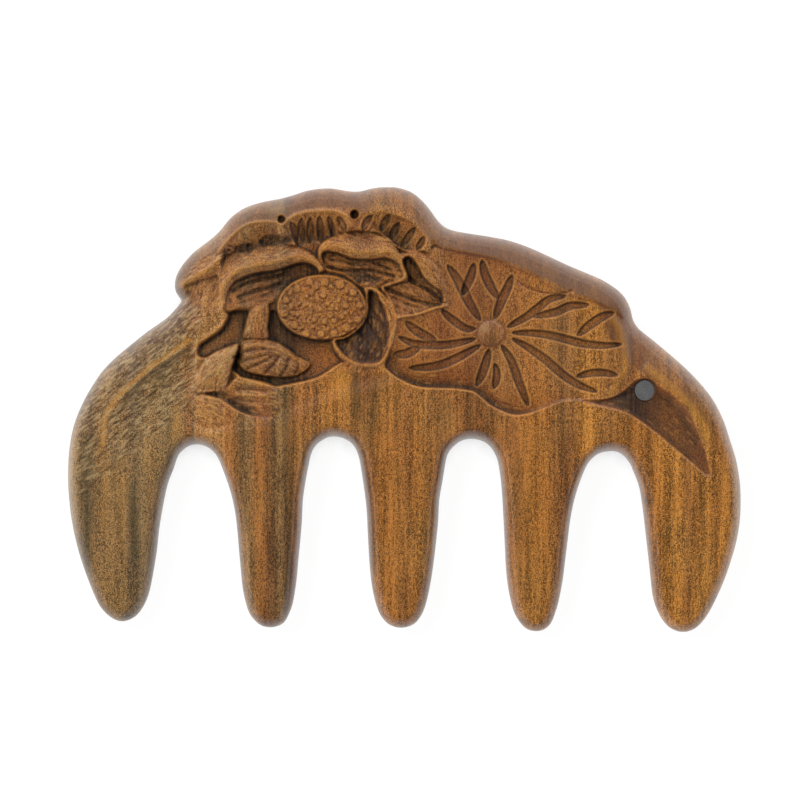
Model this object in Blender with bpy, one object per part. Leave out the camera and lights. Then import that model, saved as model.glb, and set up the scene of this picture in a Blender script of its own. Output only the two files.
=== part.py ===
"""Wide-tooth massage comb, glued up from five upright staves and carved with a lotus and its leaf.

Metres, +Z up. The comb lies flat on its back: X runs along the spine, +Y points from the tooth tips
to the top edge, and +Z out of the carved front. The origin is under the middle of the comb's box, on
the plane it rests on.
"""

import math

import bmesh
import bpy
from mathutils import Matrix, Vector

# Each stave is as wide as its tooth and half of the gap on each side. Together they make up the length.
LEFT_END_WIDTH = 0.0212
LEFT_WIDTH = 0.0222
MIDDLE_WIDTH = 0.0250
RIGHT_WIDTH = 0.0236
RIGHT_END_WIDTH = 0.0230
STAVE_WIDTHS = (LEFT_END_WIDTH, LEFT_WIDTH, MIDDLE_WIDTH, RIGHT_WIDTH, RIGHT_END_WIDTH)
LENGTH = sum(STAVE_WIDTHS)

# The spine stands on the line of the tooth roots, and the teeth hang below it.
SPINE_HEIGHT = 0.0433
TOOTH_LENGTH = 0.0327
HEIGHT = SPINE_HEIGHT + TOOTH_LENGTH
THICKNESS = 0.0125
TIP_THICKNESS = 0.0062

# Rounding: how far each one reaches in from the outline, and the upright land left between front and back.
TOOTH_ROUND = 0.0020
OUTER_ROUND = 0.0040
EDGE_LAND = 0.0008
OUTER_GROW = 0.00012
OUTER_CROWN = 0.0004

# The glue line between neighbouring staves. Each lies over a gap, so every stave ends in one whole tooth.
GLUE_LINE = 0.0001
STAVE_NAMES = ("left_end_stave", "left_stave", "middle_stave", "right_stave", "right_end_stave")

# The hanging hole, straight through the right shoulder.
HOLE_DIAMETER = 0.0034
HOLE_SHARE = (4.285, 0.198)

# Depths of the carving below the front face, and of the two shoulder scoops.
LEAF_DEPTH = 0.0011
FLOWER_DEPTH = 0.0022
FLOWER_SPAN = LEFT_WIDTH + MIDDLE_WIDTH
BOSS_RADIUS = 0.0026
BOSS_RISE = 0.0009
DOME_SINK = 0.0002
SCOOP_DEPTH = 0.0021
SCOOP_WIDTH = 0.0066

# One overrun serves every cutter that has to pass a face. Points closer than the merge distance are one.
OVERRUN = 0.003
MERGE_DISTANCE = 0.00001

# Where the teeth begin to thin towards their tips, as a share of the spine above the roots.
TAPER_TOP_SHARE = 0.158
TAPER_STEPS = 9
CURVE_STEPS = 3
ROUND_STEPS = 2
DOME_SEGMENTS = 20
DOME_RINGS = 10
HOLE_SEGMENTS = 32

# Outlines run clockwise seen from the front. The first number counts staves from the left end, and the
# second is a share of the spine above the roots, or of the teeth below them where it is negative.
TOP_EDGE_SHARES = (
    (0.906, 0.552),
    (0.868, 0.623),
    (0.906, 0.684),
    (0.998, 0.737),
    (1.180, 0.809),
    (1.366, 0.905),
    (1.552, 0.942),
    (1.832, 0.977),
    (2.026, 0.996),
    (2.228, 0.982),
    (2.435, 1.000),
    (2.587, 0.984),
    (2.693, 0.937),
    (2.785, 0.875),
    (2.900, 0.828),
    (3.230, 0.800),
    (3.610, 0.721),
    (4.000, 0.626),
    (4.135, 0.566),
    (4.205, 0.465),
)
RIGHT_END_SHARES = (
    (4.310, 0.412),
    (4.490, 0.333),
    (4.700, 0.222),
    (4.845, 0.105),
    (4.945, -0.061),
    (5.000, -0.338),
    (4.950, -0.563),
    (4.755, -0.898),
    (4.575, -1.000),
    (4.380, -0.898),
    (4.295, -0.563),
    (4.250, -0.312),
    (4.185, -0.145),
)
RIGHT_TOOTH_SHARES = (
    (4.020, -0.052),
    (3.839, -0.145),
    (3.761, -0.312),
    (3.708, -0.563),
    (3.630, -0.898),
    (3.483, -0.995),
    (3.323, -0.898),
    (3.259, -0.563),
    (3.240, -0.312),
    (3.181, -0.061),
)
MIDDLE_TOOTH_SHARES = (
    (3.021, 0.008),
    (2.863, -0.061),
    (2.794, -0.312),
    (2.766, -0.563),
    (2.684, -0.898),
    (2.532, -0.977),
    (2.385, -0.898),
    (2.316, -0.563),
    (2.293, -0.312),
    (2.233, -0.061),
)
LEFT_TOOTH_SHARES = (
    (2.081, 0.014),
    (1.915, -0.061),
    (1.848, -0.312),
    (1.822, -0.563),
    (1.744, -0.898),
    (1.594, -0.977),
    (1.428, -0.898),
    (1.350, -0.563),
    (1.309, -0.312),
    (1.159, -0.061),
)
LEFT_END_SHARES = (
    (1.040, -0.024),
    (0.900, -0.061),
    (0.765, -0.312),
    (0.705, -0.563),
    (0.613, -0.856),
    (0.423, -0.944),
    (0.239, -0.856),
    (0.071, -0.563),
    (0.000, -0.210),
    (0.033, 0.038),
    (0.125, 0.159),
    (0.320, 0.298),
    (0.564, 0.407),
    (0.803, 0.487),
)
OUTLINE_SHARES = (
    TOP_EDGE_SHARES
    + RIGHT_END_SHARES
    + RIGHT_TOOTH_SHARES
    + MIDDLE_TOOTH_SHARES
    + LEFT_TOOTH_SHARES
    + LEFT_END_SHARES
)

# The outer rounding follows the top edge and both flanks, and runs clear of the left notch and of the tips.
RIGHT_FLANK_COUNT = 7
LEFT_FLANK_FIRST = 7
TOP_EDGE_FIRST = 4
BELOW_TIPS_SHARES = (
    (4.825, -0.884),
    (4.400, -1.209),
    (3.513, -1.279),
    (1.599, -1.279),
    (0.651, -1.209),
    (0.190, -0.884),
)
LEFT_CORNER_SHARES = (
    (0.727, 0.519),
    (0.819, 0.631),
    (0.955, 0.723),
)
OUTER_SHARES = (
    LEFT_CORNER_SHARES
    + TOP_EDGE_SHARES[TOP_EDGE_FIRST:]
    + RIGHT_END_SHARES[:RIGHT_FLANK_COUNT]
    + BELOW_TIPS_SHARES
    + LEFT_END_SHARES[LEFT_FLANK_FIRST:-1]
)

# The dished lotus leaf on the right, and the sunken ground that the flower stands on.
LEAF_SHARES = (
    (2.808, 0.728),
    (3.099, 0.710),
    (3.342, 0.670),
    (3.630, 0.586),
    (3.907, 0.535),
    (4.060, 0.498),
    (4.170, 0.433),
    (4.220, 0.275),
    (4.100, 0.198),
    (3.854, 0.140),
    (3.630, 0.147),
    (3.425, 0.107),
    (3.293, 0.112),
    (3.157, 0.143),
    (3.025, 0.198),
    (2.840, 0.219),
    (2.610, 0.228),
    (2.472, 0.298),
    (2.587, 0.473),
)
FLOWER_SHARES = (
    (1.216, 0.728),
    (1.361, 0.816),
    (1.552, 0.853),
    (1.755, 0.833),
    (1.982, 0.898),
    (2.196, 0.877),
    (2.394, 0.909),
    (2.601, 0.900),
    (2.730, 0.824),
    (2.840, 0.702),
    (2.868, 0.552),
    (2.702, 0.482),
    (2.564, 0.403),
    (2.472, 0.298),
    (2.311, 0.280),
    (2.109, 0.294),
    (1.915, 0.235),
    (1.729, 0.210),
    (1.651, 0.122),
    (1.470, 0.084),
    (1.236, 0.061),
    (1.040, 0.122),
    (1.009, 0.272),
    (1.133, 0.403),
    (1.211, 0.482),
    (1.081, 0.579),
)

# Raised forms of the flower: centre, half length as a share of FLOWER_SPAN and half width as a share of
# SPINE_HEIGHT, turn in degrees, and how much of the carved depth each one fills again.
RELIEF = (
    ("seed_pod", (2.000, 0.527), (0.165, 0.130), 0, 0.95),
    ("pod_petal", (2.302, 0.444), (0.112, 0.158), 0, 0.65),
    ("front_petal", (1.584, 0.623), (0.202, 0.107), 10, 1.00),
    ("right_petal", (2.274, 0.705), (0.168, 0.098), -15, 1.00),
    ("far_right_petal", (2.656, 0.610), (0.156, 0.095), -50, 0.90),
    ("left_arch_petal", (1.506, 0.791), (0.144, 0.074), 8, 0.80),
    ("top_petal", (1.982, 0.835), (0.134, 0.068), 0, 0.70),
    ("right_arch_petal", (2.504, 0.828), (0.136, 0.084), -20, 0.75),
    ("left_tip_petal", (1.060, 0.623), (0.088, 0.119), 0, 1.00),
    ("stem", (1.506, 0.475), (0.046, 0.079), 0, 0.70),
    ("bud", (1.615, 0.314), (0.146, 0.086), -5, 0.80),
    ("curled_leaf", (1.490, 0.168), (0.090, 0.074), -20, 0.65),
    ("fold", (1.169, 0.286), (0.076, 0.104), 0, 0.90),
    ("lower_bulge", (1.138, 0.126), (0.068, 0.074), 0, 0.95),
)
BOSS_SHARE = (3.157, 0.428)

# Centre lines of the gouged scoops: a place, and how much of SCOOP_WIDTH the cut has there.
RIGHT_SCOOP_SHARES = (
    (3.878, 0.154, 0.08),
    (4.125, 0.165, 0.55),
    (4.365, 0.122, 1.00),
    (4.575, 0.017, 0.85),
    (4.750, -0.163, 0.08),
)
LEFT_SCOOP_SHARES = (
    (0.325, 0.087, 0.08),
    (0.570, 0.193, 0.65),
    (0.814, 0.263, 1.00),
    (0.987, 0.289, 1.00),
)

# Colour and finish of the oiled wood: a greener board at the left end, redder ones to the right.
WOOD_COLOURS = (
    (0.30, 0.20, 0.09, 1.0),
    (0.36, 0.19, 0.07, 1.0),
    (0.38, 0.20, 0.07, 1.0),
    (0.37, 0.18, 0.06, 1.0),
    (0.35, 0.16, 0.05, 1.0),
)
WOOD_ROUGHNESS = 0.42

# Left edge of each stave, and height of the root line, in the comb's frame.
STAVE_LEFTS = tuple(sum(STAVE_WIDTHS[:i]) - LENGTH / 2 for i in range(len(STAVE_WIDTHS)))
TIP_LINE = -HEIGHT / 2
ROOT_LINE = TIP_LINE + TOOTH_LENGTH
TAPER_LINE = ROOT_LINE + TAPER_TOP_SHARE * SPINE_HEIGHT


def new_collection(name):
    collection = bpy.data.collections.new(name)
    bpy.context.scene.collection.children.link(collection)
    return collection


def wood(name, colour):
    """An oiled, hand-polished hardwood."""
    material = bpy.data.materials.new(name)
    material.use_nodes = True
    shader = material.node_tree.nodes["Principled BSDF"]
    shader.inputs["Base Color"].default_value = colour
    shader.inputs["Roughness"].default_value = WOOD_ROUGHNESS
    shader.inputs["Metallic"].default_value = 0.0
    return material


def place(share):
    """A point on the comb's plane, from a count of staves and a share of the spine or of the teeth."""
    stave = min(int(share[0]), len(STAVE_WIDTHS) - 1)
    x = STAVE_LEFTS[stave] + (share[0] - stave) * STAVE_WIDTHS[stave]
    reach = SPINE_HEIGHT if share[1] > 0 else TOOTH_LENGTH
    return Vector((x, ROOT_LINE + share[1] * reach, 0))


def thickness_at(y):
    """The comb is full thickness along the spine and thins in an easing curve to the tooth tips."""
    t = min(max((y - TIP_LINE) / (TAPER_LINE - TIP_LINE), 0.0), 1.0)
    return TIP_THICKNESS + (THICKNESS - TIP_THICKNESS) * (t + t * (1 - t))


def as_guide(obj):
    """A cutter or guide: it is kept in the file and left out of the comb."""
    obj.hide_render = True
    obj.display_type = "WIRE"
    guides.objects.link(obj)
    return obj


def mesh_from_curve(name, curve):
    """A closed mesh in place of the curve, with the curve's loose caps welded to its sides."""
    source = bpy.data.objects.new(name + "_curve", curve)
    bpy.context.scene.collection.objects.link(source)
    bpy.context.view_layer.update()
    mesh = bpy.data.meshes.new_from_object(source.evaluated_get(bpy.context.evaluated_depsgraph_get()))
    bpy.data.objects.remove(source)
    shape = bmesh.new()
    shape.from_mesh(mesh)
    bmesh.ops.remove_doubles(shape, verts=shape.verts, dist=MERGE_DISTANCE)
    bmesh.ops.dissolve_degenerate(shape, edges=shape.edges, dist=MERGE_DISTANCE)
    bmesh.ops.recalc_face_normals(shape, faces=shape.faces)
    shape.to_mesh(mesh)
    shape.free()
    mesh.name = name
    return bpy.data.objects.new(name, mesh)


def outline_curve(name, shares):
    """A smooth closed 2D curve through the outline's points."""
    curve = bpy.data.curves.new(name, "CURVE")
    curve.dimensions = "2D"
    curve.fill_mode = "BOTH"
    curve.resolution_u = CURVE_STEPS
    spline = curve.splines.new("BEZIER")
    spline.bezier_points.add(len(shares) - 1)
    spline.use_cyclic_u = True
    for point, share in zip(spline.bezier_points, shares):
        point.co = place(share)
        point.handle_left_type = point.handle_right_type = "AUTO"
    return curve


def rounded_slab(name, shares, reach, grow, crown):
    """A slab of the outline, thinned towards the tips, whose edge rounds off over `reach`.
    It stands `grow` outside the outline and `crown` above each face."""
    curve = outline_curve(name, shares)
    curve.extrude = EDGE_LAND / 2
    curve.bevel_depth = reach
    curve.bevel_resolution = ROUND_STEPS
    curve.offset = grow - reach
    slab = mesh_from_curve(name, curve)
    shape = bmesh.new()
    shape.from_mesh(slab.data)
    for step in range(1, TAPER_STEPS + 1):
        cut = Vector((0, TIP_LINE + (TAPER_LINE - TIP_LINE) * step / TAPER_STEPS, 0))
        everything = shape.verts[:] + shape.edges[:] + shape.faces[:]
        bmesh.ops.bisect_plane(
            shape, geom=everything, dist=MERGE_DISTANCE, plane_co=cut, plane_no=(0, 1, 0)
        )
    half = EDGE_LAND / 2 + reach
    for vertex in shape.verts:
        swell = (thickness_at(vertex.co.y) / 2 + crown) / half
        vertex.co.z = THICKNESS / 2 + vertex.co.z * swell
    shape.to_mesh(slab.data)
    shape.free()
    return slab


def recess(name, shares, depth):
    """A cutter with the outline's shape, from `depth` below the front face to clear above it."""
    curve = outline_curve(name, shares)
    curve.extrude = (depth + OVERRUN) / 2
    cutter = mesh_from_curve(name, curve)
    cutter.data.transform(Matrix.Translation((0, 0, THICKNESS - depth + curve.extrude)))
    return as_guide(cutter)


def dome(name, share, half_sizes, turn, floor, rise):
    """A flattened ball that stands `rise` out of the level `floor`, its widest ring just inside the wood."""
    bpy.ops.mesh.primitive_uv_sphere_add(segments=DOME_SEGMENTS, ring_count=DOME_RINGS, radius=1)
    ball = bpy.context.object
    ball.name = name
    ball.data.transform(Matrix.Diagonal((half_sizes[0], half_sizes[1], rise + DOME_SINK, 1)))
    ball.data.transform(Matrix.Rotation(math.radians(turn), 4, "Z"))
    ball.data.transform(Matrix.Translation(place(share) + Vector((0, 0, floor - DOME_SINK))))
    for collection in ball.users_collection:
        collection.objects.unlink(ball)
    return as_guide(ball)


def scoop(name, shares):
    """A gouge's cut: a tapering round bar sunk SCOOP_DEPTH into the shoulder along its centre line."""
    curve = bpy.data.curves.new(name, "CURVE")
    curve.dimensions = "3D"
    curve.bevel_depth = SCOOP_WIDTH / 2
    curve.bevel_resolution = ROUND_STEPS
    curve.resolution_u = CURVE_STEPS
    curve.use_fill_caps = True
    spline = curve.splines.new("BEZIER")
    spline.bezier_points.add(len(shares) - 1)
    for point, (x, y, width_share) in zip(spline.bezier_points, shares):
        foot = place((x, y))
        face = (THICKNESS + thickness_at(foot.y)) / 2
        foot.z = face + (SCOOP_WIDTH / 2 - SCOOP_DEPTH) * width_share
        point.co = foot
        point.radius = width_share
        point.handle_left_type = point.handle_right_type = "AUTO"
    return as_guide(mesh_from_curve(name, curve))


def boolean(obj, other, operation):
    """MANIFOLD, because EXACT leaves open edges where the two roundings of the top edge nearly touch."""
    cut = obj.modifiers.new(other.name, "BOOLEAN")
    cut.operation = operation
    cut.solver = "MANIFOLD"
    cut.object = other


def hanging_hole():
    centre = place(HOLE_SHARE)
    bpy.ops.mesh.primitive_cylinder_add(
        vertices=HOLE_SEGMENTS,
        radius=HOLE_DIAMETER / 2,
        depth=THICKNESS + 2 * OVERRUN,
        location=(centre.x, centre.y, THICKNESS / 2),
    )
    hole = bpy.context.object
    hole.name = "hanging_hole"
    for collection in hole.users_collection:
        collection.objects.unlink(hole)
    return as_guide(hole)


def carved_blank():
    """The whole comb in one solid: the sawn and rounded outline with its carving, not yet cut into staves."""
    blank = as_guide(rounded_slab("carved_blank", OUTLINE_SHARES, TOOTH_ROUND, 0, 0))
    outer = as_guide(rounded_slab("outer_rounding", OUTER_SHARES, OUTER_ROUND, OUTER_GROW, OUTER_CROWN))
    boolean(blank, outer, "INTERSECT")
    boolean(blank, recess("leaf_recess", LEAF_SHARES, LEAF_DEPTH), "DIFFERENCE")
    boolean(blank, recess("flower_recess", FLOWER_SHARES, FLOWER_DEPTH), "DIFFERENCE")
    for name, share, half_shares, turn, fill in RELIEF:
        half_sizes = (half_shares[0] * FLOWER_SPAN, half_shares[1] * SPINE_HEIGHT)
        floor = THICKNESS - FLOWER_DEPTH
        boolean(blank, dome(name, share, half_sizes, turn, floor, FLOWER_DEPTH * fill), "UNION")
    boss = dome("leaf_boss", BOSS_SHARE, (BOSS_RADIUS, BOSS_RADIUS), 0, THICKNESS - LEAF_DEPTH, BOSS_RISE)
    boolean(blank, boss, "UNION")
    boolean(blank, scoop("right_scoop", RIGHT_SCOOP_SHARES), "DIFFERENCE")
    boolean(blank, scoop("left_scoop", LEFT_SCOOP_SHARES), "DIFFERENCE")
    boolean(blank, hanging_hole(), "DIFFERENCE")
    return blank


def stave(name, left, right, blank, colour):
    """One upright board of the glued-up blank, from one glue line to the next, shaped by the carved blank."""
    bpy.ops.mesh.primitive_cube_add(size=1)
    board = bpy.context.object
    board.name = name
    board.data.name = name
    width = right - left
    board.data.transform(Matrix.Diagonal((width, HEIGHT + 2 * OVERRUN, THICKNESS + 2 * OVERRUN, 1)))
    board.data.transform(Matrix.Translation(((left + right) / 2, 0, THICKNESS / 2)))
    for collection in board.users_collection:
        collection.objects.unlink(board)
    comb.objects.link(board)
    boolean(board, blank, "INTERSECT")
    board.data.materials.append(wood(name + "_wood", colour))
    return board


for old in list(bpy.data.objects):
    bpy.data.objects.remove(old)
comb = new_collection("massage_comb")
guides = new_collection("cutters_and_guides")

whole = carved_blank()
joints = STAVE_LEFTS[1:]
lefts = [-LENGTH / 2 - OVERRUN] + [x + GLUE_LINE / 2 for x in joints]
rights = [x - GLUE_LINE / 2 for x in joints] + [LENGTH / 2 + OVERRUN]
for name, left, right, colour in zip(STAVE_NAMES, lefts, rights, WOOD_COLOURS):
    stave(name, left, right, whole, colour)
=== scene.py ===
# %% [markdown]
# # A carved wooden massage comb
# The comb is one flat board of oiled hardwood, glued up from five upright staves, sawn to its outline,
# rounded by hand and carved on the front with a lotus flower and a lotus leaf. This lesson dresses the
# plain CAD model: it shapes one finely meshed blank, presses the carving into it, saws it into the five
# staves again, and gives each stave its own wood. First we load the CAD model, which fixes every size.

import math

import bmesh
import bpy
import numpy as np
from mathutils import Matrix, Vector


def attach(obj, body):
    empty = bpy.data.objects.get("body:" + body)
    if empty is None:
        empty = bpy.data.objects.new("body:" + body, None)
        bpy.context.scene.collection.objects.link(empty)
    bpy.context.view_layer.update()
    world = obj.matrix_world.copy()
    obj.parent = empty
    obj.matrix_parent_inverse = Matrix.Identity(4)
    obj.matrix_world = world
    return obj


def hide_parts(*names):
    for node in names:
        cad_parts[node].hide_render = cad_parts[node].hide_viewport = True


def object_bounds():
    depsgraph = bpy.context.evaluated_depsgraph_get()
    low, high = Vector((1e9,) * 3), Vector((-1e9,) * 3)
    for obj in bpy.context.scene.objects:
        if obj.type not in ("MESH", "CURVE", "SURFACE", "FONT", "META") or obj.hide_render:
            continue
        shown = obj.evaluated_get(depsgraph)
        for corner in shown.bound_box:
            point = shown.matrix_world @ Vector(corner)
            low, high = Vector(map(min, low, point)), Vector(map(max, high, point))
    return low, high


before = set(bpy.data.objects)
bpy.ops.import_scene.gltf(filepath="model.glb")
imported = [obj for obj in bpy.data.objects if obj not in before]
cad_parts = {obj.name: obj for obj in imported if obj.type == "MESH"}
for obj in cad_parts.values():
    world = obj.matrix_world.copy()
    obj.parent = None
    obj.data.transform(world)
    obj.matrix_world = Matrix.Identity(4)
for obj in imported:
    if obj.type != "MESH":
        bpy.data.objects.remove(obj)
cad_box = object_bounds()
print("CAD box, mm:", [[round(v * 1000, 2) for v in corner] for corner in cad_box])

# %% [markdown]
# ## A drawing board over the front
# Every outline and every cut is drawn on a board of 800 by 800 units that covers the camera's view, with
# y running down. One unit is 0.171 mm in the comb's middle plane. The camera stands 1 m away, so the
# front face lies a little nearer to it and looks a little larger. The carving allows for that.

# %% The drawing board
UNIT = 0.171e-3
BOARD_SIZE = 800
BOARD_MIDDLE = BOARD_SIZE / 2
COMB_CENTRE = (404.5, 409.5)
VIEW_CENTRE = ((BOARD_MIDDLE - COMB_CENTRE[0]) * UNIT, (COMB_CENTRE[1] - BOARD_MIDDLE) * UNIT)
THICKNESS = cad_box[1].z
MIDDLE_PLANE = THICKNESS / 2
CAMERA_DISTANCE = 1.0


def board_to_plane(points):
    """Drawn points as metres in the comb's middle plane."""
    x = VIEW_CENTRE[0] + (points[:, 0] - BOARD_MIDDLE) * UNIT
    y = VIEW_CENTRE[1] - (points[:, 1] - BOARD_MIDDLE) * UNIT
    return np.column_stack((x, y))


def plane_to_board(co, height):
    """Where the camera sees points that lie at this height above the comb's back."""
    nearer = CAMERA_DISTANCE / (CAMERA_DISTANCE + MIDDLE_PLANE - height)
    x = BOARD_MIDDLE + (co[:, 0] - VIEW_CENTRE[0]) / UNIT * nearer
    y = BOARD_MIDDLE - (co[:, 1] - VIEW_CENTRE[1]) / UNIT * nearer
    return x, y


print("one unit is", UNIT * 1000, "mm")

# %% [markdown]
# ## Smooth lines and a relief map
# A carver draws a line and then cuts along it. We do the same on a map of heights: a line is a smooth
# curve through a few points, written as x,y pairs, and a cut changes the heights near it. NumPy works on
# the whole map at once, which is far quicker than moving mesh points one by one.

# %% Smooth lines
MAP_STEP = 0.5
MAP_BOX = (56, 176, 752, 644)
map_x, map_y = np.meshgrid(
    np.arange(MAP_BOX[0], MAP_BOX[2], MAP_STEP), np.arange(MAP_BOX[1], MAP_BOX[3], MAP_STEP)
)


def drawn(points):
    """Rows of numbers from text such as "10,20 30,40". A list stays as it is."""
    if not isinstance(points, str):
        return points
    return [tuple(float(number) for number in row.split(",")) for row in points.split()]


def smooth_line(points, closed=False, steps=5):
    """A Catmull-Rom curve through the points."""
    p = np.array(drawn(points), float)
    if closed:
        a, b, c, d = np.roll(p, 1, 0), p, np.roll(p, -1, 0), np.roll(p, -2, 0)
    else:
        ends = np.vstack((2 * p[0] - p[1], p, 2 * p[-1] - p[-2]))
        a, b, c, d = ends[:-3], ends[1:-2], ends[2:-1], ends[3:]
    t = (np.arange(steps) / steps)[None, :, None]
    a, b, c, d = (q[:, None, :] for q in (a, b, c, d))
    line = 0.5 * (2 * b + (c - a) * t + (2 * a - 5 * b + 4 * c - d) * t**2 + (3 * b - a - 3 * c + d) * t**3)
    line = line.reshape(-1, 2)
    return line if closed else np.vstack((line, p[-1]))


def spans(line, closed):
    """The line's short straight spans, start and end."""
    return list(zip(line, np.roll(line, -1, 0))) if closed else list(zip(line[:-1], line[1:]))


def window(x0, y0, x1, y1):
    """The part of the map between these corners."""
    rows = slice(max(0, int((y0 - MAP_BOX[1]) / MAP_STEP)), max(0, int((y1 - MAP_BOX[1]) / MAP_STEP) + 2))
    cols = slice(max(0, int((x0 - MAP_BOX[0]) / MAP_STEP)), max(0, int((x1 - MAP_BOX[0]) / MAP_STEP) + 2))
    return rows, cols


print("relief map:", map_x.shape)

# %% Distance from a line, and inside a closed line
def along(line, reach, closed=False):
    """Distance from the line, up to `reach`, and how far along it, from 0 to 1, the nearest point lies."""
    distance = np.full(map_x.shape, float(reach))
    share = np.zeros(map_x.shape)
    steps = spans(line, closed)
    lengths = np.array([math.dist(a, b) for a, b in steps])
    starts = np.concatenate(([0], np.cumsum(lengths)))
    total = starts[-1]
    for (a, b), length, start in zip(steps, lengths, starts):
        if length == 0:
            continue
        x0, x1 = sorted((a[0], b[0]))
        y0, y1 = sorted((a[1], b[1]))
        part = window(x0 - reach, y0 - reach, x1 + reach, y1 + reach)
        x, y = map_x[part] - a[0], map_y[part] - a[1]
        dx, dy = (b - a) / length
        t = np.clip(x * dx + y * dy, 0, length)
        d = np.hypot(x - t * dx, y - t * dy)
        nearer = d < distance[part]
        distance[part] = np.where(nearer, d, distance[part])
        share[part] = np.where(nearer, (start + t) / total, share[part])
    return distance, share


def inside(line):
    """True inside the closed line, where a ray from the point crosses it an odd number of times."""
    odd = np.zeros(map_x.shape, bool)
    for a, b in spans(line, True):
        if a[1] == b[1]:
            continue
        y0, y1 = sorted((a[1], b[1]))
        part = window(MAP_BOX[0], y0 - 1, max(a[0], b[0]) + 1, y1 + 1)
        x, y = map_x[part], map_y[part]
        between = (a[1] > y) != (b[1] > y)
        odd[part] ^= between & (x < (b[0] - a[0]) * (y - a[1]) / (b[1] - a[1]) + a[0])
    return odd


def depth_inside(points, reach):
    """Distance from a smooth closed line, positive inside it and negative outside."""
    line = smooth_line(points, closed=True)
    distance, _ = along(line, reach, closed=True)
    return np.where(inside(line), distance, -distance)


def ease(t):
    """From 0 to 1 with a soft start and end."""
    t = np.clip(t, 0, 1)
    return t * t * (3 - 2 * t)


print("a quarter of the way, eased:", round(float(ease(0.25)), 3))

# %% [markdown]
# ## The comb's outline
# The outline runs from the notch at the left petal along the top edge, down the right tooth and back
# through the four gaps. Both sides of the board are rounded from this line.

# %% Outline of the comb
TOP_EDGE = drawn("""
    181.3,300.5 177.6,295 175.3,290 174.9,285 175.3,280 176.8,275 179.3,270 184,263 192,254.1 200,247.3
    210,239.9 220,230.8 230,218.5 240,210.7 250,205.8 264,201.8 280,198.8 294,195 306,191 320,188.8
    332,188.5 343,190.3 352,191.6 361,191.3 371,188.7 383,187.1 394,187.2 404,189.3 413,193.2 422,200.6
    430,209.9 437,219.7 444,226.6 453,230.6 470,233.7 490,236.8 510,240.9 530,247.9 550,256.9 570,266.2
    590,274.5 602,279.9 612,286 620,292.2 626,299.5 630.5,309.5 633,320 638,328 644,333.3 656,342.8
    670,354.5 685,367.8 698,381 708,393 716,405 724,422""")
RIGHT_END_TOOTH = drawn("""
    730,440.4 735,456 738,470 740,485 740.6,500 739.8,520 736.6,540 731.1,560 724.2,580 715.3,600 709,612
    702,622 694,629 683,632.2 672,629 664,622 657.1,610 652.5,595 649.7,570 647.5,550 645.2,530 642.9,510
    639.9,490 636.9,480 632.8,470 630.2,464 624,456 617,451.8""")
RIGHT_TOOTH = drawn("""
    610,451.2 602,452.4 595,456 587.5,464 580.5,480 574.2,500 570.2,520 567.7,540 565.2,560 562.7,580
    558.9,600 556,610.5 551,623 544,629.5 535,631.2 526,628.5 519,621 513.2,610 508.5,590 506,570 505,550
    504,530 502.4,500 500.8,480 498,462 494,452 488,444.5 480,440.2""")
MIDDLE_TOOTH = drawn("""
    470,438.8 461,441 454,446 449,452 446,460 442.7,480 439.3,500 438.3,520 436.3,540 434,560 431.1,580
    427,600 422,614 414,624 402,627.8 391,625.5 384,620 378,610 373,592 370,570 368.1,540 366.6,510
    364.3,490 361.3,470 359,457.5 355,447.5 349,441.2 340,437.2""")
LEFT_TOOTH = drawn("""
    330,436.8 321,441 315,446.5 311,454.5 308.5,466 305.8,480 302.9,500 302,520 300.4,540 298.4,560
    296.6,580 293.5,600 290.6,610 284,622.5 273,627.2 262,625.8 254,619.5 248,610 243,590 240.8,570 239,550
    237.3,530 234.8,510 230.1,490 223.1,470 217.5,457 211,449.5 204,445.6""")
LEFT_END_TOOTH = drawn("""
    197,444.4 190,445.6 183.5,449.6 178,456 173.5,469 167.5,485 162.3,510 159.1,530 157,550 153.8,570
    149.9,590 145,603.5 138,614 130,619.5 121,621.3 112,618 103,610 96.7,600 88.4,580 81.4,560 75.8,540
    71.8,520 69.3,500 68.1,480 68.5,460 70.7,440 75,422 82.3,404 90.5,389 101,373 113,360 126,348.8 147,332
    164.3,320 172,313 178.9,305""")
teeth = RIGHT_END_TOOTH + RIGHT_TOOTH + MIDDLE_TOOTH + LEFT_TOOTH + LEFT_END_TOOTH
comb_outline = smooth_line(TOP_EDGE + teeth, closed=True, steps=3)
print("outline points:", len(comb_outline))

# %% [markdown]
# ## A slab with small even faces
# The carving needs many small faces of the same size. The slab starts as one bmesh face with the
# outline's corners, and is extruded, drilled and remeshed with a voxel grid, as a sculptor does before
# sculpting. It is thin for now, because its edge is rounded later, and every row of faces then counts.

# %% A drilled slab
SLAB_HALF = 2.5e-3
VOXEL = 0.25e-3
HOLE_CENTRE = (644.5, 390.5)
HOLE_RADIUS = 1.7e-3


def add_object(name, data):
    """A new object in the scene."""
    thing = bpy.data.objects.new(name, data)
    bpy.context.scene.collection.objects.link(thing)
    return thing


def mesh_object(name, bm):
    """A new object with the bmesh as its mesh."""
    mesh = bpy.data.meshes.new(name)
    bm.to_mesh(mesh)
    bm.free()
    return add_object(name, mesh)


def slab_from(outline):
    """The outline as a closed slab, half above and half below the middle plane."""
    bm = bmesh.new()
    corners = [bm.verts.new((x, y, MIDDLE_PLANE - SLAB_HALF)) for x, y in board_to_plane(outline)]
    top = bmesh.ops.extrude_face_region(bm, geom=[bm.faces.new(corners)])["geom"]
    raised = [v for v in top if isinstance(v, bmesh.types.BMVert)]
    bmesh.ops.translate(bm, verts=raised, vec=(0, 0, 2 * SLAB_HALF))
    bmesh.ops.recalc_face_normals(bm, faces=bm.faces)
    return mesh_object("slab", bm)


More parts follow.
